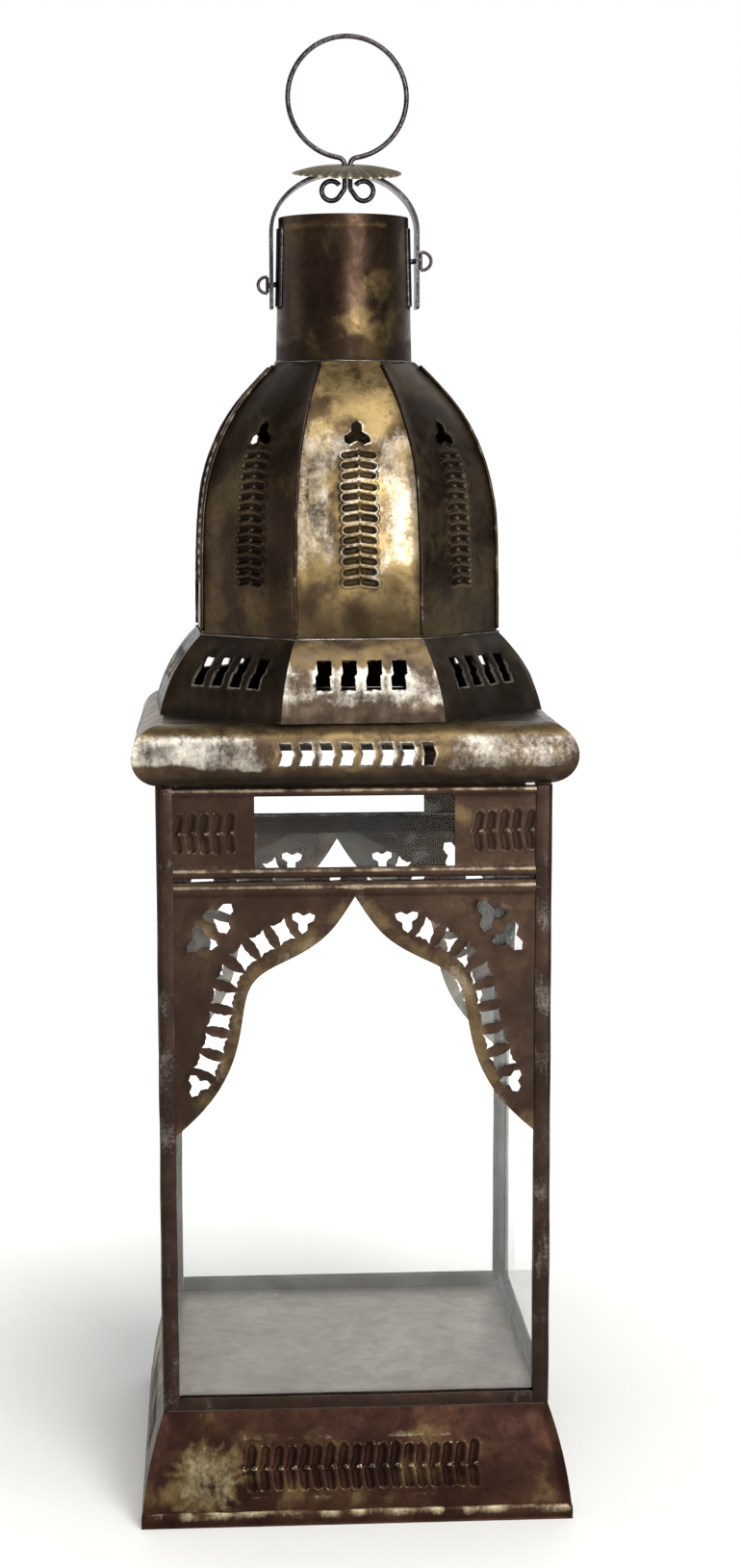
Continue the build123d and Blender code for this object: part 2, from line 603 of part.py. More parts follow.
# ---------------------------------------------------------------- bail
def strap_run(outer_grow, distance, depth):
    """A length of strap seen from the front, from distance along y, depth thick in y."""
    with BuildSketch(face_plane(0, distance)) as strap:
        rise = BAIL_CROWN - BAIL_SPRING
        with BuildLine():
            outer = STRAP_THICKNESS / 2 + outer_grow
            inner = -STRAP_THICKNESS / 2
            for grow in (outer, inner):
                EllipticalCenterArc((BAIL_X, BAIL_SPRING), BAIL_HALF + grow, rise + grow, arc_size=180)
                for side in (-1, 1):
                    foot_x = BAIL_X + side * (BAIL_HALF + grow)
                    Line((foot_x, BAIL_SPRING), (foot_x, BAIL_FOOT))
            for side in (-1, 1):
                Line((BAIL_X + side * (BAIL_HALF + outer), BAIL_FOOT),
                     (BAIL_X + side * (BAIL_HALF + inner), BAIL_FOOT))
        make_face()
    extrude(strap.sketch, amount=depth)


with BuildPart() as bail:
    strap_run(0, -STRAP_HALF_WIDTH, 2 * STRAP_HALF_WIDTH)
    strap_run(STRAP_HEM_RISE, -STRAP_HALF_WIDTH, STRAP_HEM)
    strap_run(STRAP_HEM_RISE, STRAP_HALF_WIDTH - STRAP_HEM, STRAP_HEM)
    with Locations((RING_X, 0, BAIL_CROWN)):
        Cylinder(STRAP_HOLE_RADIUS, BAIL_CROWN - BAIL_SPRING, mode=Mode.SUBTRACT)
    with Locations(pin_axis(0)):
        Cylinder(PIN_RADIUS + PIN_CLEARANCE, 3 * PIN_HALF_SPAN, mode=Mode.SUBTRACT)
save(bail, "bail")

# ---------------------------------------------------------------- hanging ring
RING_Z = RING_TOP - RING_WIRE_RADIUS - RING_RADIUS
# The loop's lower ends bend down into two shanks that lie side by side.
LOOP_GAP_X = RING_SHANK_X + RING_BEND_RADIUS
LOOP_GAP = Vector(((RING_RADIUS + RING_BEND_RADIUS) ** 2 - LOOP_GAP_X ** 2) ** 0.5,
                  LOOP_GAP_X).get_angle(Vector(1, 0))
BEND_Z = RING_Z - (RING_RADIUS + RING_BEND_RADIUS) * cos(radians(LOOP_GAP))

with BuildPart() as ring:
    front = Plane(origin=(RING_X, 0, 0), x_dir=(1, 0, 0), z_dir=(0, -1, 0))
    entry = 180 + SPLAY
    eye_x = RING_EYE_X + RING_EYE_RADIUS * cos(radians(entry))
    eye_z = RING_EYE_Z + RING_EYE_RADIUS * sin(radians(entry))
    splay_x = RING_SHANK_X + SPLAY_RADIUS + SPLAY_RADIUS * cos(radians(entry))
    splay_z = eye_z + (eye_x - splay_x) / tan(radians(SPLAY))
    shank_foot = splay_z - SPLAY_RADIUS * sin(radians(entry))
    with BuildLine(front):
        CenterArc((0, RING_Z), RING_RADIUS, 90, LOOP_GAP - 180)
        CenterArc((LOOP_GAP_X, BEND_Z), RING_BEND_RADIUS, 90 + LOOP_GAP, 90 - LOOP_GAP)
        Line((RING_SHANK_X, BEND_Z), (RING_SHANK_X, shank_foot))
        CenterArc((RING_SHANK_X + SPLAY_RADIUS, shank_foot), SPLAY_RADIUS, 180, SPLAY)
        Line((splay_x, splay_z), (eye_x, eye_z))
        CenterArc((RING_EYE_X, RING_EYE_Z), RING_EYE_RADIUS, entry, EYE_TURN)
    sweep(wire_section(RING_X, RING_Z + RING_RADIUS, 0, RING_WIRE_RADIUS))
    mirror(about=Plane.YZ.offset(RING_X))
save(ring, "hanging_ring")

# ---------------------------------------------------------------- rosette cap
cap_up = (0, -sin(radians(CAP_TILT)), cos(radians(CAP_TILT)))
cap_back = (0, -cos(radians(CAP_TILT)), -sin(radians(CAP_TILT)))

with BuildPart() as cap:
    with BuildSketch(Plane(origin=(RING_X, 0, CAP_Z), x_dir=(1, 0, 0), z_dir=cap_back)):
        with BuildLine():
            middle = (CAP_RADIUS * CAP_CURVE[0], CAP_RISE * CAP_CURVE[1])
            ThreePointArc((CAP_HOLE_RADIUS, CAP_RISE), middle, (CAP_RADIUS, 0))
            Line((CAP_RADIUS, 0), (CAP_RADIUS, -CAP_SHEET))
            ThreePointArc((CAP_RADIUS, -CAP_SHEET), (middle[0], middle[1] - CAP_SHEET),
                          (CAP_HOLE_RADIUS, CAP_RISE - CAP_SHEET))
            Line((CAP_HOLE_RADIUS, CAP_RISE - CAP_SHEET), (CAP_HOLE_RADIUS, CAP_RISE))
        make_face()
    revolve(axis=Axis((RING_X, 0, CAP_Z), cap_up))
save(cap, "rosette_cap")
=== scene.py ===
import math

import bmesh
import bpy
import numpy as np
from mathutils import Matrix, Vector
from mathutils.geometry import delaunay_2d_cdt


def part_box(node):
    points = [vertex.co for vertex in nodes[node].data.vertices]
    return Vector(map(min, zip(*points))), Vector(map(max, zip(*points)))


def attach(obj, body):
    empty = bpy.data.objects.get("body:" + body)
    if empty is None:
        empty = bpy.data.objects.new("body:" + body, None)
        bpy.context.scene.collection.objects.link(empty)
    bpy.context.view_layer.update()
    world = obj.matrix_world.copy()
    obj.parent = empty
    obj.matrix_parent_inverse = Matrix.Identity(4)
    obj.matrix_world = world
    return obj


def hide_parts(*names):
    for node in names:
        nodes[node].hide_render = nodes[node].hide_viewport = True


# The looks of a Moroccan candle lantern in thin patinated sheet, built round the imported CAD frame.
# Shapes are worked out in millimetres and stored in metres, +Z up, front towards -Y.

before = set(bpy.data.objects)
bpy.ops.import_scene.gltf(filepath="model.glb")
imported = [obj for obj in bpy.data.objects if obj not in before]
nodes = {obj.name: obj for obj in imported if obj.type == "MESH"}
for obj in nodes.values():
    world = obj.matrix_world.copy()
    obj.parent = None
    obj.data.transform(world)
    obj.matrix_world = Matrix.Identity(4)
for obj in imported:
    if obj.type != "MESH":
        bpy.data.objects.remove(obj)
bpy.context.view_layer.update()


def edge(node, side, axis):
    """One face of a CAD node's box in mm; side is 0 for the lowest and 1 for the highest."""
    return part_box(node)[side][axis] * 1000


# --- dimensions of the CAD part
SIDES = {"front": 0, "right": 90, "back": 180, "left": 270}
ROOF_TURN = 2.5
SQUARE, OCTAGON = math.tan(math.radians(45)), math.tan(math.radians(22.5))
CORNER = math.cos(math.radians(22.5))
PLATE, SHEET = 0.7, 0.9
PLINTH_FOOT = edge("plinth_right", 1, 0)
PLINTH_TOP = edge("plinth_right", 1, 2)
PLINTH_BELLY, PLINTH_NECK = PLINTH_FOOT - 3.1, PLINTH_FOOT - 9.5
HEM_DEPTH, HEM_HEIGHT = 3.0, 6.5
BODY_HALF = edge("post_back_right", 1, 0)
PLATE_FACE = BODY_HALF - 0.9
ARCH_TOP = edge("arch_back", 1, 2)
ARCH_EDGE = [(0.0, 260.6), (12.0, 244.4), (28.5, 234.2), (41.2, 225.8), (45.6, 211.5), (48.9, 195.7),
             (57.0, 179.3), (78.0, 158.5)]
CHAIN_LINE = [(21.0, 250.8), (37.0, 242.2), (48.6, 232.6), (54.6, 213.5), (58.6, 196.2), (64.2, 183.6)]
CHAIN_COUNT = 10
STAR_SIZE, END_TREFOIL, CORNER_TREFOIL = (6.6, 9.6), 5.4, 7.4
CORNER_TREFOILS = [(54.6, 252.6, 40), (62.6, 243.2, -15)]
FRIEZE_LOW, FRIEZE_TOP = edge("frieze_back", 0, 2), edge("frieze_back", 1, 2)
WINDOW = (40.4, 272.8, 301.7)
BEAD_RISE = 0.85
CORNICE_LOW, ROOF_Z = edge("cornice_back", 0, 2), edge("cornice_back", 1, 2)
CORNICE_RADIUS = (ROOF_Z - CORNICE_LOW) / 2
CORNICE_CENTRE = edge("cornice_right", 1, 0) - CORNICE_RADIUS
SKIRT_OUTLINE = [(80.0, 331.0), (75.0, 345.9), (62.6, 363.2)]
SKIRT_TOP = edge("skirt_panel_1", 1, 2)
DOME_OUTLINE = [(61.8, 363.2), (61.4, 395.0), (58.2, 428.0), (49.8, 450.0), (37.2, 467.0), (28.9, 475.5)]
CHIMNEY_LOW, CHIMNEY_TOP = edge("chimney", 0, 2), edge("chimney", 1, 2)
CHIMNEY_RADII = (28.75, 27.4)
BAIL_X, BAIL_HALF, BAIL_SPRING, BAIL_CROWN = 0.3, 30.4, 530.0, 554.1
BAIL_FOOT = edge("bail", 0, 2)
RING_X = 1.8
CAP_Z, CAP_TILT, CAP_RADIUS, CAP_RISE, CAP_HOLE = 554.5, 9.8, 23.2, 3.1, 3.2


# --- numbers
def smooth(low, high, x):
    t = np.clip((x - low) / (high - low), 0, 1)
    return t * t * (3 - 2 * t)


def ripples(points, seed, wavelength, waves=9):
    """Smooth seeded noise in about -1..1 at points, an (n, k) array in mm."""
    rng = np.random.default_rng(seed)
    total = np.zeros(len(points))
    for _ in range(waves):
        heading = rng.normal(size=points.shape[1])
        heading /= np.linalg.norm(heading)
        length = wavelength * rng.uniform(0.6, 1.7)
        total += np.sin(points @ heading * (2 * math.pi / length) + rng.uniform(0, 6.3))
    return total / math.sqrt(waves)


def curve_through(points, count):
    """A smooth curve through points: count places along a natural cubic spline."""
    p = np.array(points, float)
    t = np.concatenate([[0], np.cumsum(np.linalg.norm(np.diff(p, axis=0), axis=1))])
    h = np.diff(t)
    n = len(p)
    a = np.eye(n)
    b = np.zeros((n, p.shape[1]))
    for i in range(1, n - 1):
        a[i, i - 1], a[i, i], a[i, i + 1] = h[i - 1], 2 * (h[i - 1] + h[i]), h[i]
        b[i] = 6 * ((p[i + 1] - p[i]) / h[i] - (p[i] - p[i - 1]) / h[i - 1])
    m = np.linalg.solve(a, b)
    at = np.linspace(0, t[-1], count)
    k = np.clip(np.searchsorted(t, at, side="right") - 1, 0, n - 2)
    s, hk = (at - t[k])[:, None], h[k][:, None]
    slope = (p[k + 1] - p[k]) / hk - hk * (2 * m[k] + m[k + 1]) / 6
    return p[k] + slope * s + m[k] / 2 * s**2 + (m[k + 1] - m[k]) / (6 * hk) * s**3


def arc_through(a, b, c, count):
    """count places on the circle through three points, from a to c by way of b."""
    (ax, ay), (bx, by), (cx, cy) = a, b, c
    d = 2 * (ax * (by - cy) + bx * (cy - ay) + cx * (ay - by))
    ux = ((ax**2 + ay**2) * (by - cy) + (bx**2 + by**2) * (cy - ay) + (cx**2 + cy**2) * (ay - by)) / d
    uy = ((ax**2 + ay**2) * (cx - bx) + (bx**2 + by**2) * (ax - cx) + (cx**2 + cy**2) * (bx - ax)) / d
    start, middle, end = (math.atan2(y - uy, x - ux) for x, y in (a, b, c))
    sweep = (end - start) % (2 * math.pi)
    if (middle - start) % (2 * math.pi) > sweep:
        sweep -= 2 * math.pi
    angles = start + sweep * np.linspace(0, 1, count)
    radius = math.hypot(ax - ux, ay - uy)
    return np.stack([ux + radius * np.cos(angles), uy + radius * np.sin(angles)], 1)


def resample(loop, step):
    """A closed loop of points with its long edges divided."""
    out = []
    for a, b in zip(loop, loop[1:] + loop[:1]):
        a, b = np.array(a, float), np.array(b, float)
        pieces = max(1, int(math.ceil(np.linalg.norm(b - a) / step)))
        out += [tuple(a + (b - a) * k / pieces) for k in range(pieces)]
    return out


def inside(points, loop):
    """Whether each point is inside a closed loop."""
    x, y = points[:, 0], points[:, 1]
    odd = np.zeros(len(points), bool)
    for (x0, y0), (x1, y1) in zip(loop, loop[1:] + loop[:1]):
        if y0 != y1:
            odd ^= ((y0 > y) != (y1 > y)) & (x < (x1 - x0) * (y - y0) / (y1 - y0) + x0)
    return odd


def distance(points, loops):
    """How far each point is from the nearest edge of some closed loops."""
    best = np.full(len(points), 1e9)
    for loop in loops:
        p = np.array(loop, float)
        for a, b in zip(p, np.roll(p, -1, axis=0)):
            ab = b - a
            t = np.clip(((points - a) @ ab) / max(ab @ ab, 1e-12), 0, 1)
            best = np.minimum(best, np.hypot(*(points - a - t[:, None] * ab).T))
    return best


def grid(x0, x1, y0, y1, step, seed=1):
    """A lightly shaken grid of points inside a rectangle."""
    rng = np.random.default_rng(seed)
    xs, ys = np.meshgrid(np.arange(x0, x1, step), np.arange(y0, y1, step))
    p = np.stack([xs.ravel(), ys.ravel()], 1)
    return p + rng.uniform(-0.12, 0.12, p.shape) * step


# --- meshes
def make_object(name, verts_mm, faces, sharp_edges=None, attributes=None):
    """A smooth-shaded object from points in mm, with values at its points as attributes."""
    mesh = bpy.data.meshes.new(name)
    mesh.from_pydata((np.asarray(verts_mm, float) / 1000).tolist(), [], [tuple(f) for f in faces])
    mesh.update()
    mesh.polygons.foreach_set("use_smooth", np.ones(len(mesh.polygons), bool))
    if sharp_edges:
        ends = np.zeros(len(mesh.edges) * 2, np.int64)
        mesh.edges.foreach_get("vertices", ends)
        ends = np.sort(ends.reshape(-1, 2), 1)
        wanted = np.sort(np.array(sorted(sharp_edges), np.int64), 1)
        count = len(mesh.vertices)
        flags = np.isin(ends[:, 0] * count + ends[:, 1], wanted[:, 0] * count + wanted[:, 1])
        mesh.attributes.new("sharp_edge", "BOOLEAN", "EDGE").data.foreach_set("value", flags)
    for key, values in (attributes or {}).items():
        mesh.attributes.new(key, "FLOAT", "POINT").data.foreach_set("value", np.asarray(values, np.float32))
    obj = bpy.data.objects.new(name, mesh)
    bpy.context.scene.collection.objects.link(obj)
    return obj


def triangulate(outline, holes, fill):
    """Points and triangles of a flat region with holes; fill is the points inside it."""
    points, links = [], []
    for loop in [outline] + holes:
        start = len(points)
        points += loop
        links += [(start + k, start + (k + 1) % len(loop)) for k in range(len(loop))]
    points += [tuple(p) for p in fill]
    found = delaunay_2d_cdt([Vector(p) for p in points], links, [], 0, 1e-6)
    verts, faces = np.array([v[:] for v in found[0]]), np.array([f[:] for f in found[2]])
    middle = verts[faces].mean(1)
    keep = inside(middle, outline)
    for hole in holes:
        keep &= ~inside(middle, hole)
    a, b, c = (verts[faces[:, k]] for k in range(3))
    area = (b[:, 0] - a[:, 0]) * (c[:, 1] - a[:, 1]) - (b[:, 1] - a[:, 1]) * (c[:, 0] - a[:, 0])
    faces[area < 0] = faces[area < 0][:, ::-1]
    faces = faces[keep & (np.abs(area) > 1e-7)]
    used = np.unique(faces)
    index = np.full(len(verts), -1)
    index[used] = np.arange(len(used))
    return verts[used], index[faces]


def border(faces):
    """The directed edges that only one triangle has."""
    directed = np.concatenate([faces[:, [0, 1]], faces[:, [1, 2]], faces[:, [2, 0]]])
    size = faces.max() + 1
    keys, back = directed[:, 0] * size + directed[:, 1], directed[:, 1] * size + directed[:, 0]
    return directed[~np.isin(keys, back)]


def close_sheet(name, front, back, faces, wear_and_painted_highlight, grime_and_painted_shade, gilt=None):
    """A closed shell from the two skins of a sheet; wear_and_painted_highlight, grime_and_painted_shade and gilt are 0
    to 1 at each point.
    """
    count = len(front)
    rim = border(faces)
    walls = np.concatenate([
        np.stack([rim[:, 1], rim[:, 0], rim[:, 0] + count], 1),
        np.stack([rim[:, 1], rim[:, 0] + count, rim[:, 1] + count], 1)])
    every = np.concatenate([faces, faces[:, ::-1] + count, walls])
    sharp = [tuple(e) for e in rim] + [tuple(e + count) for e in rim]
    both = {key: np.tile(np.clip(values, 0, 1), 2)
            for key, values in (("wear_and_painted_highlight", wear_and_painted_highlight), ("grime_and_painted_shade", grime_and_painted_shade), ("gilt", gilt)) if values is not None}
    return make_object(name, np.concatenate([front, back]), every.tolist(), sharp, both)


class Profile:
    """An upright outline that a sheet follows: distance from the axis and height, by length along it."""

    def __init__(self, points):
        self.p = np.array(points, float)
        self.s = np.concatenate([[0], np.cumsum(np.linalg.norm(np.diff(self.p, axis=0), axis=1))])
        tangent = np.gradient(self.p, self.s, axis=0)
        tangent /= np.linalg.norm(tangent, axis=1)[:, None]
        self.n = np.stack([tangent[:, 1], -tangent[:, 0]], 1)
        self.length = self.s[-1]

    def at(self, v):
        return [np.interp(v, self.s, c) for c in (*self.p.T, *self.n.T)]

    def where(self, z):
        """The length at which the outline reaches a height."""
        return float(np.interp(z, self.p[:, 1], self.s))


def place(turn, u, out, z):
    """Points u along a side, out from the axis and z high, for the side at turn degrees."""
    c, s = math.cos(math.radians(turn)), math.sin(math.radians(turn))
    return np.stack([u * c + out * s, u * s - out * c, z], 1)


def mitred(profile, turn, uv, lift):
    """A profile's surface on one side of a square or octagon, raised by lift, true to its mitres."""
    r, z, nr, nz = profile.at(uv[:, 1])
    out = r + lift * nr
    return place(turn, uv[:, 0] * out / r, out, z + lift * nz)


def tube(name, path, radius, sides, seed, rough, closed=False):
    """A round wire along a path, with pointed ends where it isn't closed, from a moving frame."""
    p = np.array(path, float)
    n = len(p)
    tangent = np.roll(p, -1, 0) - np.roll(p, 1, 0) if closed else np.gradient(p, axis=0)
    tangent /= np.linalg.norm(tangent, axis=1)[:, None]
    side = np.cross(tangent[0], [0.31, 0.87, 0.38])
    side /= np.linalg.norm(side)
    radii = np.broadcast_to(radius, n)
    rings = []
    for k in range(n):
        side = side - tangent[k] * (side @ tangent[k])
        side /= np.linalg.norm(side)
        other = np.cross(tangent[k], side)
        angles = np.arange(sides) * 2 * math.pi / sides
        rings.append(p[k] + radii[k] * (np.cos(angles)[:, None] * side + np.sin(angles)[:, None] * other))
    verts, centre = np.concatenate(rings), np.repeat(p, sides, axis=0)
    verts = centre + (verts - centre) * (1 + rough * ripples(verts, seed, 3.0))[:, None]
    faces = []
    for k in range(n if closed else n - 1):
        a, b = k * sides, (k + 1) % n * sides
        faces += [(a + j, a + (j + 1) % sides, b + (j + 1) % sides, b + j) for j in range(sides)]
    if not closed:
        for k, order in ((0, -1), (n - 1, 1)):
            tip = len(verts)
            verts = np.concatenate([verts, [p[k] + order * tangent[k] * radii[k] * 0.5]])
            a = k * sides
            ring_faces = [(a + j, a + (j + 1) % sides, tip) for j in range(sides)]
            faces += [f[::-1] for f in ring_faces] if order < 0 else ring_faces
    wear_and_painted_highlight = 0.25 + 0.25 * ripples(verts, seed + 5, 9.0)
    return make_object(name, verts, faces, None, {"wear_and_painted_highlight": wear_and_painted_highlight, "grime_and_painted_shade": np.zeros(len(verts))})


def join(name, parts):
    """One object from several closed shells."""
    with bpy.context.temp_override(active_object=parts[0], selected_editable_objects=parts):
        bpy.ops.object.join()
    parts[0].name = parts[0].data.name = name
    return parts[0]


def dress(node, body, slot, step, axis, width, dents, seed, wear_and_painted_highlight, name=None):
    """Replace a plain CAD node by a copy with rounded edges, sliced along an axis and lightly dented."""
    name = name or node + "_shaped"
    bm = bmesh.new()
    bm.from_mesh(nodes[node].data)
    bmesh.ops.remove_doubles(bm, verts=bm.verts, dist=2e-6)
    bmesh.ops.dissolve_limit(bm, angle_limit=0.02, verts=bm.verts, edges=bm.edges)
    sharp = [e for e in bm.edges if len(e.link_faces) == 2 and e.calc_face_angle(0) > 0.6]
    bmesh.ops.bevel(bm, geom=sharp, offset=width / 1000, segments=2, profile=0.6, affect="EDGES",
                    clamp_overlap=True)
    if step:
        low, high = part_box(node)[0][axis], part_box(node)[1][axis]
        normal = [0, 0, 0]
        normal[axis] = 1
        for k in range(1, int((high - low) * 1000 / step)):
            at = [0, 0, 0]
            at[axis] = low + k * step / 1000
            bmesh.ops.bisect_plane(bm, geom=bm.verts[:] + bm.edges[:] + bm.faces[:], plane_co=at,
                                   plane_no=normal, dist=1e-7)
    bmesh.ops.triangulate(bm, faces=[f for f in bm.faces if len(f.verts) > 4])
    mesh = bpy.data.meshes.new(name)
    bm.to_mesh(mesh)
    bm.free()
    co = np.array([v.co for v in mesh.vertices]) * 1000
    if dents:
        shift = np.stack([ripples(co, seed + k, 38.0) for k in range(3)], 1) * dents
        shift[:, axis] = 0
        co = co + shift
        mesh.vertices.foreach_set("co", (co / 1000).ravel())
    mesh.update()
    mesh.polygons.foreach_set("use_smooth", np.ones(len(mesh.polygons), bool))
    mesh.set_sharp_from_angle(angle=math.radians(38))
    mesh.materials.clear()
    mesh.attributes.new("wear_and_painted_highlight", "FLOAT", "POINT").data.foreach_set(
        "value", np.clip(wear_and_painted_highlight + 0.14 * ripples(co, seed + 9, 22.0), 0, 1).astype(np.float32))
    mesh.attributes.new("grime_and_painted_shade", "FLOAT", "POINT").data.foreach_set("value", np.zeros(len(co), np.float32))
    obj = bpy.data.objects.new(name, mesh)
    bpy.context.scene.collection.objects.link(obj)
    finish_piece(obj, body, slot, [node])


# --- cut-outs
def trefoil(cx, cy, size, turn):
    loop = []
    for lobe in (90, 210, 330):
        for reach, spread in ((0.42, -60), (0.80, -25), (1.0, 0), (0.80, 25)):
            angle = math.radians(lobe + spread + turn)
            loop.append((cx + size * reach * math.cos(angle), cy + size * reach * math.sin(angle)))
    return loop


def star(cx, cy, width, height, turn):
    w, h = width / 2, height / 2
    half = [(w, h), (0.4 * w, 0.80 * h), (0, 0.86 * h), (-0.4 * w, 0.80 * h), (-w, h), (-0.78 * w, 0.35 * h),
            (-0.84 * w, 0), (-0.78 * w, -0.35 * h)]
    corners = half + [(-x, -y) for x, y in half]
    c, s = math.cos(math.radians(turn)), math.sin(math.radians(turn))
    return [(cx + x * c - y * s, cy + x * s + y * c) for x, y in corners]


def ragged(loop, seed, amount=0.22, step=0.8):
    """A cut-out with the slightly uneven edge that a chisel leaves; it only grows inwards."""
    p = np.array(resample(loop, step))
    middle = p.mean(0)
    pull = amount * (0.5 + 0.5 * ripples(p, seed, 2.6, 6))
    away = p - middle
    return [tuple(q) for q in p - away / np.linalg.norm(away, axis=1)[:, None] * np.clip(pull, 0, 1)[:, None]]


def spandrel_cuts():
    """The chain of stars along the arch, the trefoils at its ends and the pairs in the corners."""
    line = curve_through(CHAIN_LINE, 400)
    run = np.concatenate([[0], np.cumsum(np.linalg.norm(np.diff(line, axis=0), axis=1))])
    cuts = []
    for side in (1, -1):
        for k in range(CHAIN_COUNT):
            at = run[-1] * k / (CHAIN_COUNT - 1)
            x, z = (np.interp(at, run, line[:, c]) for c in (0, 1))
            dx, dz = (np.interp(min(at + 0.5, run[-1]), run, line[:, c])
                      - np.interp(max(at - 0.5, 0), run, line[:, c]) for c in (0, 1))
            heading = math.degrees(math.atan2(dz, dx))
            if k in (0, CHAIN_COUNT - 1):
                cuts.append(trefoil(side * x, z, END_TREFOIL, side * (heading + (90 if k == 0 else -90))))
            else:
                cuts.append(star(side * x, z, *STAR_SIZE, side * heading))
        cuts += [trefoil(side * x, z, CORNER_TREFOIL, side * lean) for x, z, lean in CORNER_TREFOILS]
    return cuts


# --- embossing
def capsule(a, b, ax, ay, bx, by, radius):
    """Signed distance from a rounded bar."""
    dx, dy = bx - ax, by - ay
    t = np.clip(((a - ax) * dx + (b - ay) * dy) / (dx * dx + dy * dy), 0, 1)
    return np.hypot(a - ax - t * dx, b - ay - t * dy) - radius


def brace(a, b, half, waist):
    """Signed distance from one stamped mark: two drooping lobes joined at a raised middle."""
    left = capsule(a, b, -half + waist, -0.28 * waist, -0.17 * half, 0.2 * waist, waist)
    right = capsule(a, b, half - waist, -0.28 * waist, 0.17 * half, 0.2 * waist, waist)
    nib = capsule(a, b, 0, 0.2 * waist, 0, 1.15 * waist, 0.5 * waist)
    notch = capsule(a, b, 0, -1.7 * waist, 0, -0.42 * waist, 0.45 * waist)
    return np.maximum(np.minimum(np.minimum(left, right), nib), -notch)


def stamped(d, depth, rim):
    """Height, wear and grime of a stamped mark from the distance to its outline."""
    height = -depth * smooth(0.15, -0.95, d) + rim * np.exp(-((d - 0.45) / 0.45) ** 2)
    return height, np.exp(-((d - 0.4) / 0.4) ** 2), smooth(0.1, -0.7, d)


def rows_of_braces(uv, centre, pitch, count, half, waist, upright, depth, rim, seed):
    """A row of marks; upright marks stand side by side, the others lie one above the other."""
    a, b = uv[:, 0] - centre[0], uv[:, 1] - centre[1]
    if upright:
        a, b = b, -a
    rng = np.random.default_rng(seed)
    d = np.full(len(uv), 9.0)
    for k in range(count):
        at = (k - (count - 1) / 2) * pitch + rng.uniform(-0.2, 0.2)
        slip, tilt = rng.uniform(-0.3, 0.3), rng.uniform(-0.03, 0.03)
        d = np.minimum(d, brace(a - slip, b - at + tilt * a, half * rng.uniform(0.95, 1.03), waist))
    return stamped(d, depth, rim)


# --- materials
class Nodes:
    """A short way to wire up a node tree."""

    def __init__(self, tree):
        self.tree = tree
        tree.nodes.clear()

    def new(self, kind):
        return self.tree.nodes.new("ShaderNode" + kind)

    def link(self, a, b):
        self.tree.links.new(a, b)

    def put(self, socket, value):
        if isinstance(value, bpy.types.NodeSocket):
            self.link(value, socket)
        else:
            socket.default_value = value

    def step(self, value, low, high, out_low=0.0, out_high=1.0):
        """Maps low..high smoothly to out_low..out_high."""
        n = self.new("MapRange")
        n.interpolation_type = "SMOOTHSTEP"
        self.link(value, n.inputs[0])
        for key, number in enumerate((low, high, out_low, out_high), 1):
            n.inputs[key].default_value = number
        return n.outputs[0]

    def math(self, operation, a, b, clamp=False):
        n = self.new("Math")
        n.operation = operation
        n.use_clamp = clamp
        self.put(n.inputs[0], a)
        self.put(n.inputs[1], b)
        return n.outputs[0]

    def times(self, a, b):
        return self.math("MULTIPLY", a, b)

    def add(self, *terms, clamp=False):
        """The sum of some values and (value, factor) pairs."""
        total, *rest = (self.times(*t) if isinstance(t, tuple) else t for t in terms)
        for left, term in enumerate(rest, 1 - len(rest)):
            total = self.math("ADD", total, term, clamp and left == 0)
        return total

    def mix(self, factor, a, b):
        n = self.new("Mix")
        n.data_type = "RGBA"
        self.put(n.inputs[0], factor)
        for socket, value in ((n.inputs[6], a), (n.inputs[7], b)):
            self.put(socket, (*value, 1) if isinstance(value, tuple) else value)
        return n.outputs[2]


class Surface(Nodes):
    """A material with one principled shader, whose textures are laid out in mm."""

    def __init__(self, name):
        self.material = bpy.data.materials.new(name)
        self.material.use_nodes = True
        super().__init__(self.material.node_tree)
        self.shader = self.new("BsdfPrincipled")
        self.link(self.shader.outputs["BSDF"], self.new("OutputMaterial").inputs["Surface"])
        self.coords = self.new("TexCoord").outputs["Object"]

    def texture(self, kind, size, squash=(1, 1, 1), offset=0.0, **values):
        mapping, n = self.new("Mapping"), self.new(kind)
        mapping.inputs["Scale"].default_value = [1000 / size * s for s in squash]
        mapping.inputs["Location"].default_value = (offset, offset * 1.7, offset * 0.6)
        self.link(self.coords, mapping.inputs["Vector"])
        self.link(mapping.outputs[0], n.inputs["Vector"])
        n.inputs["Scale"].default_value = 1.0
        for key, value in values.items():
            n.inputs[key].default_value = value
        return n.outputs

    def noise(self, size, detail=6.0, rough=0.6, distort=0.0, squash=(1, 1, 1), offset=0.0):
        """Noise with features of about size mm; squash below 1 draws it out along that axis."""
        return self.texture("TexNoise", size, squash, offset, Detail=detail, Roughness=rough, Distortion=distort)[0]

    def cells(self, size):
        return self.texture("TexVoronoi", size)["Distance"]

    def attribute(self, name):
        n = self.new("Attribute")
        n.attribute_name = name
        return n.outputs["Fac"]

    def bump(self, height, strength, depth):
        n = self.new("Bump")
        n.inputs["Strength"].default_value = strength
        n.inputs["Distance"].default_value = depth / 1000
        self.link(height, n.inputs["Height"])
        return n.outputs[0]

    def finish(self, metallic, **inputs):
        """Set how metallic the shader is, link its other inputs, and hand over the material."""
        self.shader.inputs["Metallic"].default_value = metallic
        for key, value in inputs.items():
            self.link(value, self.shader.inputs[key.replace("_", " ")])
        return self.material


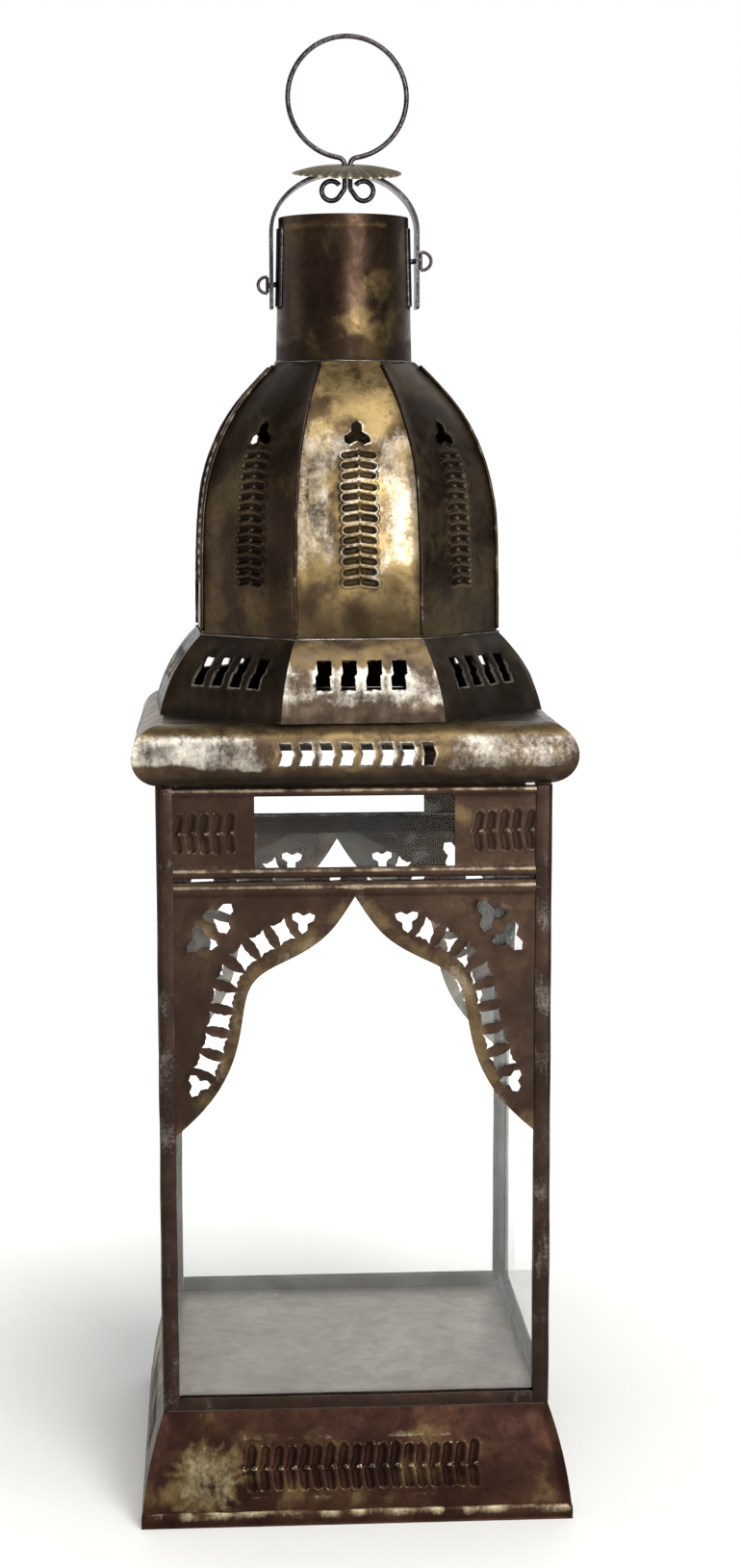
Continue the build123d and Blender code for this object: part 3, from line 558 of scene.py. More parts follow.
def patina(name, dark, brown, gold, pale, gilt, worn, gloss, streak, offset, pits=0.5, relief_mm=0.28):
    """Oxidised sheet: dark and brown clouds, rubbed golden patches, pale worn flecks, stains, pits and brushing, with
    painted highlights and painted shade laid on from per-point attributes.
    """
    m = Surface(name)
    clouds = m.noise(34, 7, 0.62, 0.5, offset=offset)
    mottle = m.noise(9, 8, 0.68, 0.8, offset=offset + 3)
    specks = m.noise(1.5, 5, 0.7, offset=offset + 7)
    brushed = m.noise(5.0, 5, 0.7, 0.3, (1, 1, 0.16), offset + 11)
    hairs = m.noise(0.9, 3, 0.6, 0.0, (1, 1, 0.05), offset + 13)
    wear_and_painted_highlight, grime_and_painted_shade = m.attribute("wear_and_painted_highlight"), m.attribute("grime_and_painted_shade")
    colour = m.mix(m.step(clouds, 0.36, 0.6), dark, brown)
    colour = m.mix(m.step(mottle, 0.35, 0.72, 0.0, 0.75), colour, dark)
    golden = m.add((clouds, 0.55), (mottle, 0.45), (m.attribute("gilt"), 0.22))
    colour = m.mix(m.step(golden, 0.62 - 0.3 * gilt, 0.80 - 0.26 * gilt), colour, gold)
    silver = m.add((brushed, 0.55), (specks, 0.45))
    # Pale where the wear_and_painted_highlight attribute is high: rubbed metal and painted highlights alike.
    pale_wear_and_painted_highlight = m.step(m.add((wear_and_painted_highlight, 0.55), silver), 0.70, 1.10)
    loose = m.step(m.add((silver, 0.6), (clouds, 0.4)), 0.70 - 0.26 * worn, 0.78 - 0.22 * worn)
    colour = m.mix(m.add(pale_wear_and_painted_highlight, loose, clamp=True), colour, pale)
    stain = m.add((m.noise(3.4, 7, 0.72, 0.5, offset=offset + 17), 0.6), (m.noise(17, 3, offset=offset + 19), 0.4))
    colour = m.mix(m.step(stain, 0.47, 0.62, 0.0, 0.62), colour, dark)
    holes = m.times(m.step(m.cells(2.4), 0.0, 0.16, 1.0, 0.0),
                    m.step(m.noise(16, 3, offset=offset + 21), 0.48, 0.62, 0.0, pits))
    colour = m.mix(holes, colour, tuple(c * 0.25 for c in dark))
    # Darker where the grime_and_painted_shade attribute is high: grime and painted shade alike.
    colour = m.mix(m.times(grime_and_painted_shade, 0.8), colour, tuple(c * 0.4 for c in dark))
    rough = m.add(m.step(mottle, 0.3, 0.75, gloss - 0.1, gloss + 0.16), (brushed, streak * 0.16), (grime_and_painted_shade, 0.25),
                  clamp=True)
    relief = m.add((mottle, 0.5), (specks, 0.35), (hairs, 0.25 * streak))
    relief = m.math("SUBTRACT", relief, m.times(holes, 0.8))
    return m.finish(0.94, Base_Color=colour, Roughness=rough, Normal=m.bump(relief, 0.45, relief_mm))


def glass_material():
    """Thin clear glass as a mirror that shows most at grazing angles, with a few drops and dust near its foot."""
    m = Surface("pane_glass")
    facing = m.new("LayerWeight")
    facing.inputs["Blend"].default_value = 0.5
    place_on = m.new("SeparateXYZ")
    m.link(m.coords, place_on.inputs[0])
    dust = m.times(m.step(m.noise(22, 6, 0.7, 0.4), 0.40, 0.75, 0.04, 0.065),
                   m.step(place_on.outputs[2], 0.16, 0.27, 1.0, 0.25))
    drops = m.times(m.step(m.cells(5.5), 0.05, 0.13, 1.0, 0.0),
                    m.step(m.noise(30, 2, offset=4.0), 0.62, 0.72, 0.0, 0.12))
    glancing = m.math("POWER", facing.outputs["Facing"], 3.6)
    m.shader.inputs["Base Color"].default_value = (0.86, 0.90, 0.88, 1)
    return m.finish(1.0, Alpha=m.add((glancing, 0.26), dust, drops, clamp=True),
                    Roughness=m.step(m.noise(14, 4, offset=9.0), 0.35, 0.7, 0.015, 0.09),
                    Normal=m.bump(m.noise(60, 1, 0.4), 0.15, 0.5))


def steel(name, colour, light, gloss, offset):
    """Dark drawn wire or strap steel with a faint violet bloom and rubbed high spots."""
    m = Surface(name)
    clouds = m.noise(11, 6, 0.65, 0.4, offset=offset)
    fine = m.noise(1.1, 5, 0.7, offset=offset + 5)
    tint = m.mix(m.step(clouds, 0.35, 0.65), colour, tuple(c * 1.5 for c in colour))
    bare = m.times(m.attribute("wear_and_painted_highlight"), m.step(fine, 0.42, 0.62))
    return m.finish(0.95, Base_Color=m.mix(bare, tint, light),
                    Roughness=m.step(clouds, 0.3, 0.7, gloss - 0.07, gloss + 0.12),
                    Normal=m.bump(m.add(fine, clouds), 0.35, 0.12))


# The dark, brown, gold and pale colours of each patina, then its gilt, worn, gloss, streak and offset.
PATINAS = {
    "plinth_patina": ((0.015, 0.006, 0.004), (0.042, 0.018, 0.010), (0.10, 0.066, 0.027), (0.27, 0.23, 0.14),
                      0.26, 0.10, 0.38, 0.6, 1.0),
    "floor_metal": ((0.25, 0.21, 0.18), (0.30, 0.255, 0.22), (0.31, 0.26, 0.215), (0.36, 0.33, 0.30),
                    0.2, 0.05, 0.46, 0.1, 5.0, 0.05, 0.06),
    "frame_patina": ((0.017, 0.010, 0.007), (0.036, 0.021, 0.015), (0.070, 0.048, 0.026), (0.26, 0.235, 0.20),
                     0.10, 0.0, 0.36, 0.4, 9.0),
    "plate_patina": ((0.021, 0.012, 0.008), (0.039, 0.023, 0.015), (0.080, 0.054, 0.026), (0.19, 0.155, 0.105),
                     0.20, 0.0, 0.38, 0.4, 14.0),
    "cornice_patina": ((0.028, 0.017, 0.011), (0.070, 0.047, 0.028), (0.13, 0.090, 0.040), (0.34, 0.315, 0.27),
                       0.30, 0.16, 0.30, 0.9, 21.0),
    "skirt_patina": ((0.018, 0.011, 0.006), (0.042, 0.026, 0.014), (0.075, 0.050, 0.022), (0.30, 0.26, 0.20),
                     0.24, 0.05, 0.30, 0.8, 27.0),
    # The front skirt panel's brighter copy of skirt_patina: painted light.
    "skirt_painted_lit_front": ((0.026, 0.017, 0.011), (0.070, 0.050, 0.033), (0.095, 0.066, 0.030), (0.33, 0.30, 0.255),
                     0.30, 0.18, 0.28, 1.0, 29.0),
    "dome_patina": ((0.019, 0.011, 0.006), (0.036, 0.022, 0.012), (0.060, 0.041, 0.019), (0.24, 0.20, 0.15),
                    0.24, 0.0, 0.28, 0.4, 33.0),
    # The front dome gore's brighter copy of dome_patina: painted light.
    "dome_painted_lit_front": ((0.034, 0.021, 0.010), (0.082, 0.056, 0.029), (0.165, 0.115, 0.048), (0.34, 0.305, 0.25),
                    0.42, 0.30, 0.28, 0.4, 37.0),
    "chimney_patina": ((0.020, 0.011, 0.007), (0.046, 0.028, 0.016), (0.082, 0.055, 0.023), (0.22, 0.18, 0.12),
                       0.28, 0.0, 0.32, 0.4, 41.0),
    "cap_brass": ((0.10, 0.082, 0.05), (0.19, 0.16, 0.105), (0.25, 0.20, 0.12), (0.46, 0.42, 0.33),
                  0.5, 0.25, 0.44, 0.2, 47.0),
    "solder": ((0.07, 0.06, 0.05), (0.13, 0.115, 0.10), (0.18, 0.15, 0.09), (0.40, 0.38, 0.35),
               0.3, 0.3, 0.32, 0.1, 61.0),
}
looks = {name: patina(name, *row) for name, row in PATINAS.items()}
looks["strap_steel"] = steel("strap_steel", (0.020, 0.016, 0.019), (0.26, 0.24, 0.26), 0.30, 51.0)
looks["wire_steel"] = steel("wire_steel", (0.020, 0.015, 0.018), (0.18, 0.16, 0.18), 0.30, 57.0)
looks["pane_glass"] = glass_material()


def finish_piece(obj, body, slot, replaced=(), look=None):
    """Give a piece the material of its look, or else of its slot, put it under its CAD body's empty, and hide the CAD
    nodes it replaces.
    """
    obj.data.materials.clear()
    obj.data.materials.append(looks[look or slot])
    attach(obj, body)
    if replaced:
        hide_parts(*replaced)


# --- laying out sheets
def mitred_outline(profile, slope, step):
    """The outline of one side of a square or octagon in length along the side and along the profile."""
    v = np.linspace(0, profile.length, max(3, int(profile.length / step)))
    r = profile.at(v)[0] * slope
    bottom = [(x, 0.0) for x in np.linspace(-r[0], r[0], int(2 * r[0] / step))]
    right = [(float(a), float(b)) for a, b in zip(r[1:-1], v[1:-1])]
    top = [(x, float(v[-1])) for x in np.linspace(r[-1], -r[-1], int(2 * r[-1] / step))]
    return bottom + right + top + [(-a, b) for a, b in right[::-1]]


def lay_out(outline, holes, areas, step, gap=0.4):
    """Points and triangles of a sheet; areas (x0, x1, y0, y1, step) have a grid of their own."""
    low, high = np.min(outline, 0), np.max(outline, 0)
    taken, fill = [], []
    for x0, x1, y0, y1, pitch in areas + [(low[0], high[0], low[1], high[1], step)]:
        p = grid(x0, x1, y0, y1, pitch)
        for a0, a1, b0, b1 in taken:
            p = p[~((p[:, 0] > a0) & (p[:, 0] < a1) & (p[:, 1] > b0) & (p[:, 1] < b1))]
        p = p[inside(p, outline)]
        fill.append(p[distance(p, [outline] + holes) > min(gap, 0.45 * pitch)])
        taken.append((x0, x1, y0, y1))
    return triangulate(outline, holes, np.concatenate(fill))


def rectangle(x0, x1, y0, y1, step):
    return resample([(x0, y0), (x1, y0), (x1, y1), (x0, y1)], step)


def mitred_sheet(name, profile, turn, uv, faces, lift, *marks):
    """A bent sheet on one side of a square or octagon, raised by lift; marks are its wear_and_painted_highlight,
    grime_and_painted_shade and gilt.
    """
    return close_sheet(name, *(mitred(profile, turn, uv, h) for h in (lift, lift - SHEET)), faces, *marks)


def hump(x, width):
    return np.exp(-(x / width) ** 2)


def struck_dots(v, pitch, reach, pale):
    """Bright specks at the ends and middle of upright marks; v is the height from their middle."""
    dots = smooth(0.90, 0.99, np.abs(np.cos(v * math.pi / pitch)))
    return dots * smooth(0.55, 0.9, pale) * smooth(reach + 0.9, reach, np.abs(v))


# --- plinth
plinth_profile = Profile(arc_through(
    (PLINTH_FOOT, 0), (PLINTH_BELLY, PLINTH_TOP / 2), (PLINTH_NECK, PLINTH_TOP), 60))


def rolled_hem(side, turn, seed, count=90, around=20):
    """The rolled hem along the foot of one side."""
    across = np.arange(around) * 2 * math.pi / around
    out, z = ((np.sign(w) * np.abs(w) ** 0.7 * size / 2)
              for w, size in ((np.cos(across), HEM_DEPTH), (np.sin(across), HEM_HEIGHT)))
    out, z = PLINTH_FOOT - HEM_DEPTH / 2 + out, HEM_HEIGHT / 2 + z
    verts = np.concatenate([place(turn, t * out, out, z) for t in np.linspace(-1, 1, count)])
    faces = []
    for a in range(0, (count - 1) * around, around):
        b = a + around
        faces += [(a + j, b + j, b + (j + 1) % around, a + (j + 1) % around) for j in range(around)]
    faces += [tuple(range(around)), tuple(range(count * around - 1, (count - 1) * around - 1, -1))]
    wobble = 0.12 * ripples(verts, 31 + seed, 16.0)
    verts[:, 2] = np.clip(verts[:, 2] * (1 + wobble / HEM_HEIGHT), 0, None)
    # Paler along the top of the hem: partly rubbed metal, partly a painted highlight on its upper edge.
    rub_and_painted_highlight = np.clip(0.62 + 0.3 * ripples(verts, 40 + seed, 14.0), 0, 1) * smooth(1.6, 4.4, verts[:, 2])
    return make_object(f"hem_{side}", verts, faces, None, {"wear_and_painted_highlight": rub_and_painted_highlight, "grime_and_painted_shade": np.zeros(len(verts))})


outline = mitred_outline(plinth_profile, SQUARE, 1.6)
block = (2.0, plinth_profile.where(23.6))
uv, faces = lay_out(outline, [], [(-48.5, 52.5, block[1] - 11.5, block[1] + 11.5, 0.55)], 1.7)
u, v = uv.T
off = np.abs(v - block[1])
fade = smooth(0.4, 2.5, distance(uv, [outline]))
for seed, (side, turn) in enumerate(SIDES.items()):
    lift, pale, dirt_and_painted_shade = rows_of_braces(uv, block, pitch=5.4, count=18, half=9.4, waist=1.7, upright=True,
                                      depth=0.8, rim=0.12, seed=70 + seed)
    flat = place(turn, u, np.full(len(uv), PLINTH_FOOT), v)
    lift = lift + fade * (0.28 * ripples(flat, 5, 46.0) + 0.10 * ripples(flat, 6, 15.0) - 0.2)
    # A rubbed, star-shaped patch at the left end and a rubbed band round the stamped block.
    dx, dz = u + 62, v - plinth_profile.where(19)
    spokes = 0.5 + 0.5 * np.sin(14 * np.arctan2(dz, dx) + ripples(flat, 8, 14.0) * 2)
    patch = smooth(22, 9, np.hypot(dx, dz * 0.95) + 5 * spokes) * smooth(0.2, 1.0, np.abs(dx - 1))
    band = smooth(15.5, 12.0, off) * smooth(10.5, 12.3, off)
    band *= smooth(-0.2, 0.8, ripples(flat, 12, 13.0)) * smooth(58, 36, np.abs(u + 6))
    # Painted light: the left side is made paler all over, as the side the light falls on.
    painted_lit_side = (side == "left") * (0.5 + 0.2 * ripples(flat, 14, 24.0))
    wear_and_painted_highlight = 0.66 * patch + 0.68 * band + 0.9 * struck_dots(v - block[1], 9.4, 9.0, pale) + painted_lit_side
    gilt = 1.2 * patch + 0.8 * smooth(19, 13, off) * (0.25 + 0.4 * ripples(flat, 13, 21.0))
    name = f"plinth_panel_{side}"
    panel = mitred_sheet(name, plinth_profile, turn, uv, faces, lift, wear_and_painted_highlight, 0.6 * dirt_and_painted_shade, gilt)
    finish_piece(join(name, [panel, rolled_hem(side, turn, seed)]), "lantern_body", "plinth_patina",
                 [f"plinth_{side}"])

# --- posts, stiles and rails
for name in ("post_back_left", "post_back_right", "post_front_left", "post_front_right"):
    dress(name, "lantern_body", "frame_patina", 6.0, 2, 0.2, 0.10, 3, 0.28)
for name in ("door_hinge_stile", "door_free_stile"):
    dress(name, "door", "frame_patina", 6.0, 2, 0.25, 0.10, 7, 0.33)
for name, axis, body in (("bottom_rail_right", 1, "lantern_body"), ("bottom_rail_back", 0, "lantern_body"),
                         ("bottom_rail_left", 1, "lantern_body"), ("door_bottom_rail", 0, "door")):
    dress(name, body, "frame_patina", 6.0, axis, 0.2, 0.08, 11, 0.22)


# --- strips behind the gaps
def strip(name, turn, half, low, high, depths, holes, seed, bow, dirt_and_painted_shade):
    """A strip of sheet across a side; depths are how far its two skins are behind the body's side."""
    uv, faces = lay_out(rectangle(-half, half, low, high, 1.7), holes, [], 1.7)
    bent = bow * np.abs(ripples(uv, seed, 30.0))
    skins = [place(turn, uv[:, 0], BODY_HALF - deep - bent, uv[:, 1]) for deep in depths]
    nothing = np.zeros(len(uv))
    # Evenly darkened all over: painted shade.
    finish_piece(close_sheet(name, *skins, faces, nothing + 0.1, nothing + dirt_and_painted_shade), "lantern_body", "frame_patina")


# One above the door, folded down from the roof, and one on each side between the plates, worn through in places. These
# dark strips put painted shade into the gaps.
BEHIND_DOOR, BEHIND_PLATES = (5.15, 5.75), (4.8, 5.3)
strip("header_strip", 0, 69.5, 302.5, CORNICE_LOW + 0.4, BEHIND_DOOR, [], 15, 0.05, 0.3)
for seed, (side, turn) in enumerate(SIDES.items()):
    rng = np.random.default_rng(130 + seed)
    holes, x = [], -66.0
    while x < 60 and side != "back":
        end = x + rng.uniform(4, 15)
        holes.append(resample([(x, 266.6), (end, 266.9), (end, 268.5), (x, 268.2)], 1.0))
        x = end + rng.uniform(6, 16)
    strip(f"backing_strip_{side}", turn, 73.6, 263.9, 270.9, BEHIND_DOOR if turn == 0 else BEHIND_PLATES, holes,
          16 + seed, 0.04, 0.5)


# --- arch and frieze plates
def bead(v, low, high):
    t = np.clip((v - (low + high) / 2) / ((high - low) / 2), -1, 1)
    return BEAD_RISE * np.sqrt(1 - t * t)


def plate_piece(node, body, turn, uv, faces, height, *marks):
    """A flat plate with its raised and pressed detail; marks are its wear_and_painted_highlight,
    grime_and_painted_shade and gilt.
    """
    skins = [place(turn, uv[:, 0], PLATE_FACE + height, uv[:, 1]),
             place(turn, uv[:, 0], PLATE_FACE + np.minimum(height, 0.3) - PLATE, uv[:, 1])]
    finish_piece(close_sheet(node + "_sheet", *skins, faces, *marks), body, "plate_patina", [node])


lip = curve_through(ARCH_EDGE, 90)
lip = lip[lip[:, 0] < 77.0]
sides = [("door_arch", "door_frieze", 0, "door")] + [
    (f"arch_{side}", f"frieze_{side}", SIDES[side], "lantern_body") for side in ("right", "back", "left")]
for seed, (arch_node, frieze_node, turn, body) in enumerate(sides):
    axis, facing = turn // 90 % 2, 1 if turn < 180 else -1
    start, end = sorted(facing * edge(arch_node, k, axis) for k in (0, 1))
    right = [tuple(p) for p in lip[lip[:, 0] < end - 0.3]]
    left = [(-x, z) for x, z in right if -x > start + 0.3]
    foot = (start, left[-1][1])
    loop = resample([(end, right[-1][1]), (end, ARCH_TOP), (start, ARCH_TOP), foot], 1.6)
    loop = loop[:loop.index(foot) + 1] + left[::-1] + right[1:]
    holes = [ragged(h, 200 + 40 * seed + k) for k, h in enumerate(spandrel_cuts())]
    uv, faces = lay_out(loop, holes, [(start, end, ARCH_TOP - 6.2, ARCH_TOP, 0.7)], 1.35, 0.35)
    u, v = uv.T
    flat = place(turn, u, np.full(len(uv), PLATE_FACE), v)
    near = distance(uv, holes)
    to_lip = distance(uv, [left[::-1] + right[1:] + [(80, 120), (-80, 120)]])
    height = bead(v, ARCH_TOP - 5.6, ARCH_TOP) + 0.20 * np.exp(-near / 0.7) * (ripples(flat, 3, 5.0) + 0.6)
    height += smooth(80, 72, np.abs(u)) * smooth(ARCH_TOP - 5, ARCH_TOP - 9, v) * (
        0.16 * ripples(flat, 21, 42.0) + 0.06 * ripples(flat, 22, 12.0) - 0.15)
    crook = hump(np.hypot(np.abs(u) - 41, v - 224), 9)
    wear_and_painted_highlight = 0.35 * np.exp(-near / 0.6) + smooth(6.5, 2.5, to_lip) * (
        0.36 + 0.16 * ripples(flat, 24, 17.0) + 0.35 * crook)
    # Pale line along the crest of the top bead: partly rubbed metal, partly a painted highlight.
    wear_and_painted_highlight += hump(v - ARCH_TOP + 1.9, 0.8) * (0.92 + 0.30 * ripples(flat, 25, 13.0))
    gilt = smooth(9, 3, to_lip) * (0.75 + 0.4 * ripples(flat, 29, 19.0))
    gilt += 0.35 * smooth(0.3, 1.4, ripples(flat, 30, 24.0))
    plate_piece(arch_node, body, turn, uv, faces, np.clip(height, -0.5, BEAD_RISE), wear_and_painted_highlight, u * 0, gilt)

    w, z0, z1 = WINDOW
    blocks = [(-60.9, 287.0), (60.3, 287.0)]
    areas = [(x - 14, x + 14, z - 10, z + 10, 0.5) for x, z in blocks]
    areas += [(start, end, FRIEZE_LOW, FRIEZE_LOW + 4.4, 0.7), (start, end, z1, FRIEZE_TOP, 0.7)]
    uv, faces = lay_out(rectangle(start, end, FRIEZE_LOW, FRIEZE_TOP, 1.6), [rectangle(-w, w, z0, z1, 1.2)], areas, 1.5)
    u, v = uv.T
    flat = place(turn, u, np.full(len(uv), PLATE_FACE), v)
    height = bead(v, FRIEZE_LOW, z0 - 0.1) + bead(v, z1, FRIEZE_TOP)
    wear_and_painted_highlight, dirt_and_painted_shade = 0.0, 0.0
    for k, block in enumerate(blocks):
        lift, pale, dark = rows_of_braces(uv, block, pitch=5.2, count=5, half=8.3, waist=1.6, upright=True,
                                          depth=0.5, rim=0.1, seed=90 + 2 * seed + k)
        height, dirt_and_painted_shade = height + lift, dirt_and_painted_shade + 0.5 * dark
        wear_and_painted_highlight = wear_and_painted_highlight + 0.8 * struck_dots(v - block[1], 8.3, 8.0, pale)
    calm = smooth(z0, z0 + 2, v) * smooth(z1, z1 - 2, v)
    height = height + calm * (0.10 * ripples(flat, 27, 30.0) - 0.08)
    wear_and_painted_highlight = wear_and_painted_highlight + 0.2 * smooth(w + 6.5, w + 1, np.abs(u)) * calm
    gilt = smooth(w + 12, w + 3, np.abs(u)) * (0.2 + 0.45 * ripples(flat, 26, 12.0)) * calm
    # Pale lines along the bead crests: partly rubbed metal, partly a painted highlight.
    crests = hump(v - z0 + 1.2, 0.7) + hump(v - FRIEZE_TOP + 1.2, 0.7)
    wear_and_painted_highlight = wear_and_painted_highlight + crests * (0.92 + 0.30 * ripples(flat, 28, 12.0))
    plate_piece(frieze_node, body, turn, uv, faces, np.clip(height, -0.69, BEAD_RISE), wear_and_painted_highlight, dirt_and_painted_shade, gilt)

# --- cornice
mid = CORNICE_LOW + CORNICE_RADIUS
angles = np.radians(np.linspace(-90, 90, 61))
round_part = np.stack([CORNICE_CENTRE + CORNICE_RADIUS * np.cos(angles), mid + CORNICE_RADIUS * np.sin(angles)], 1)
UNDERSIDE = 4.8                # flat part below the round
cornice_profile = Profile(np.concatenate([[(CORNICE_CENTRE - UNDERSIDE, CORNICE_LOW)], round_part]))
outline = mitred_outline(cornice_profile, SQUARE, 1.6)


def cornice_v(z):
    """Length along the moulding at a height on its outside."""
    return UNDERSIDE + CORNICE_RADIUS * (math.asin((z - mid) / CORNICE_RADIUS) + math.pi / 2)


SLOT_PITCH, SLOT_HALF, SLOT_RISE, SLOT_LEAN = 57.0 / 7, 2.5, 4.9, 1.3
w, h, lean = SLOT_HALF, SLOT_RISE, SLOT_LEAN
slot = [(-w, h), (w, h), (w + lean, 0), (w, -h), (-w, -h), (-w + lean, 0)]
for seed, (side, turn) in enumerate(SIDES.items()):
    holes = [ragged([(-28.5 + SLOT_PITCH * k + a, cornice_v(319.4 + b)) for a, b in slot], 400 + 10 * seed + k, 0.35)
             for k in range(8)]
    uv, faces = lay_out(outline, holes, [(-33, 33, cornice_v(312.5), cornice_v(326), 0.9)], 1.7)
    flat = mitred(cornice_profile, turn, uv, np.zeros(len(uv)))
    u, z = uv[:, 0], flat[:, 2]
    near = distance(uv, holes)
    fade = smooth(0.3, 2.5, distance(uv, [outline]))
    lift = -0.30 * np.abs(ripples(flat, 44, 36.0)) + 0.05 * ripples(flat, 45, 11.0)
    lift = fade * (lift - 0.05) + 0.22 * np.exp(-near / 0.7) * (0.5 + 0.6 * ripples(flat, 46, 4.0)) - 0.12 * (near < 2)
    # Painted highlight: a pale band over the upper part of the round, strongest towards the ends and most at the left
    # end, with gold in its middle. Painted shade below it, darker towards the underside.
    edge_line = mid - 5.6 + 1.6 * ripples(flat, 47, 22.0)
    band = smooth(edge_line - 1.2, edge_line + 1.5, z) * smooth(ROOF_Z - 1.5, ROOF_Z - 5.5, z)
    calm = smooth(30, 44, np.abs(u))
    wear_and_painted_highlight = 0.6 * np.exp(-near / 0.8) + band * (
        0.16 + calm * (0.70 - 0.30 * smooth(20, 50, u)) + 0.18 * ripples(flat, 48, 26.0))
    grime_and_painted_shade = 0.18 * smooth(edge_line + 0.5, edge_line - 5.0, z)
    gilt = smooth(ROOF_Z - 6, ROOF_Z - 3, z) + 0.5 * (1 - calm) * band
    piece = mitred_sheet(f"cornice_sheet_{side}", cornice_profile, turn, uv, faces, lift, wear_and_painted_highlight, grime_and_painted_shade, gilt)
    finish_piece(piece, "lantern_body", "cornice_patina", [f"cornice_{side}"])

# --- skirt and dome
skirt_profile = Profile(arc_through(*SKIRT_OUTLINE, 50))
dome_profile = Profile(curve_through(DOME_OUTLINE, 140))
dome_v = dome_profile.where
skirt_outline = mitred_outline(skirt_profile, OCTAGON, 1.3)
dome_outline = mitred_outline(dome_profile, OCTAGON, 1.6)
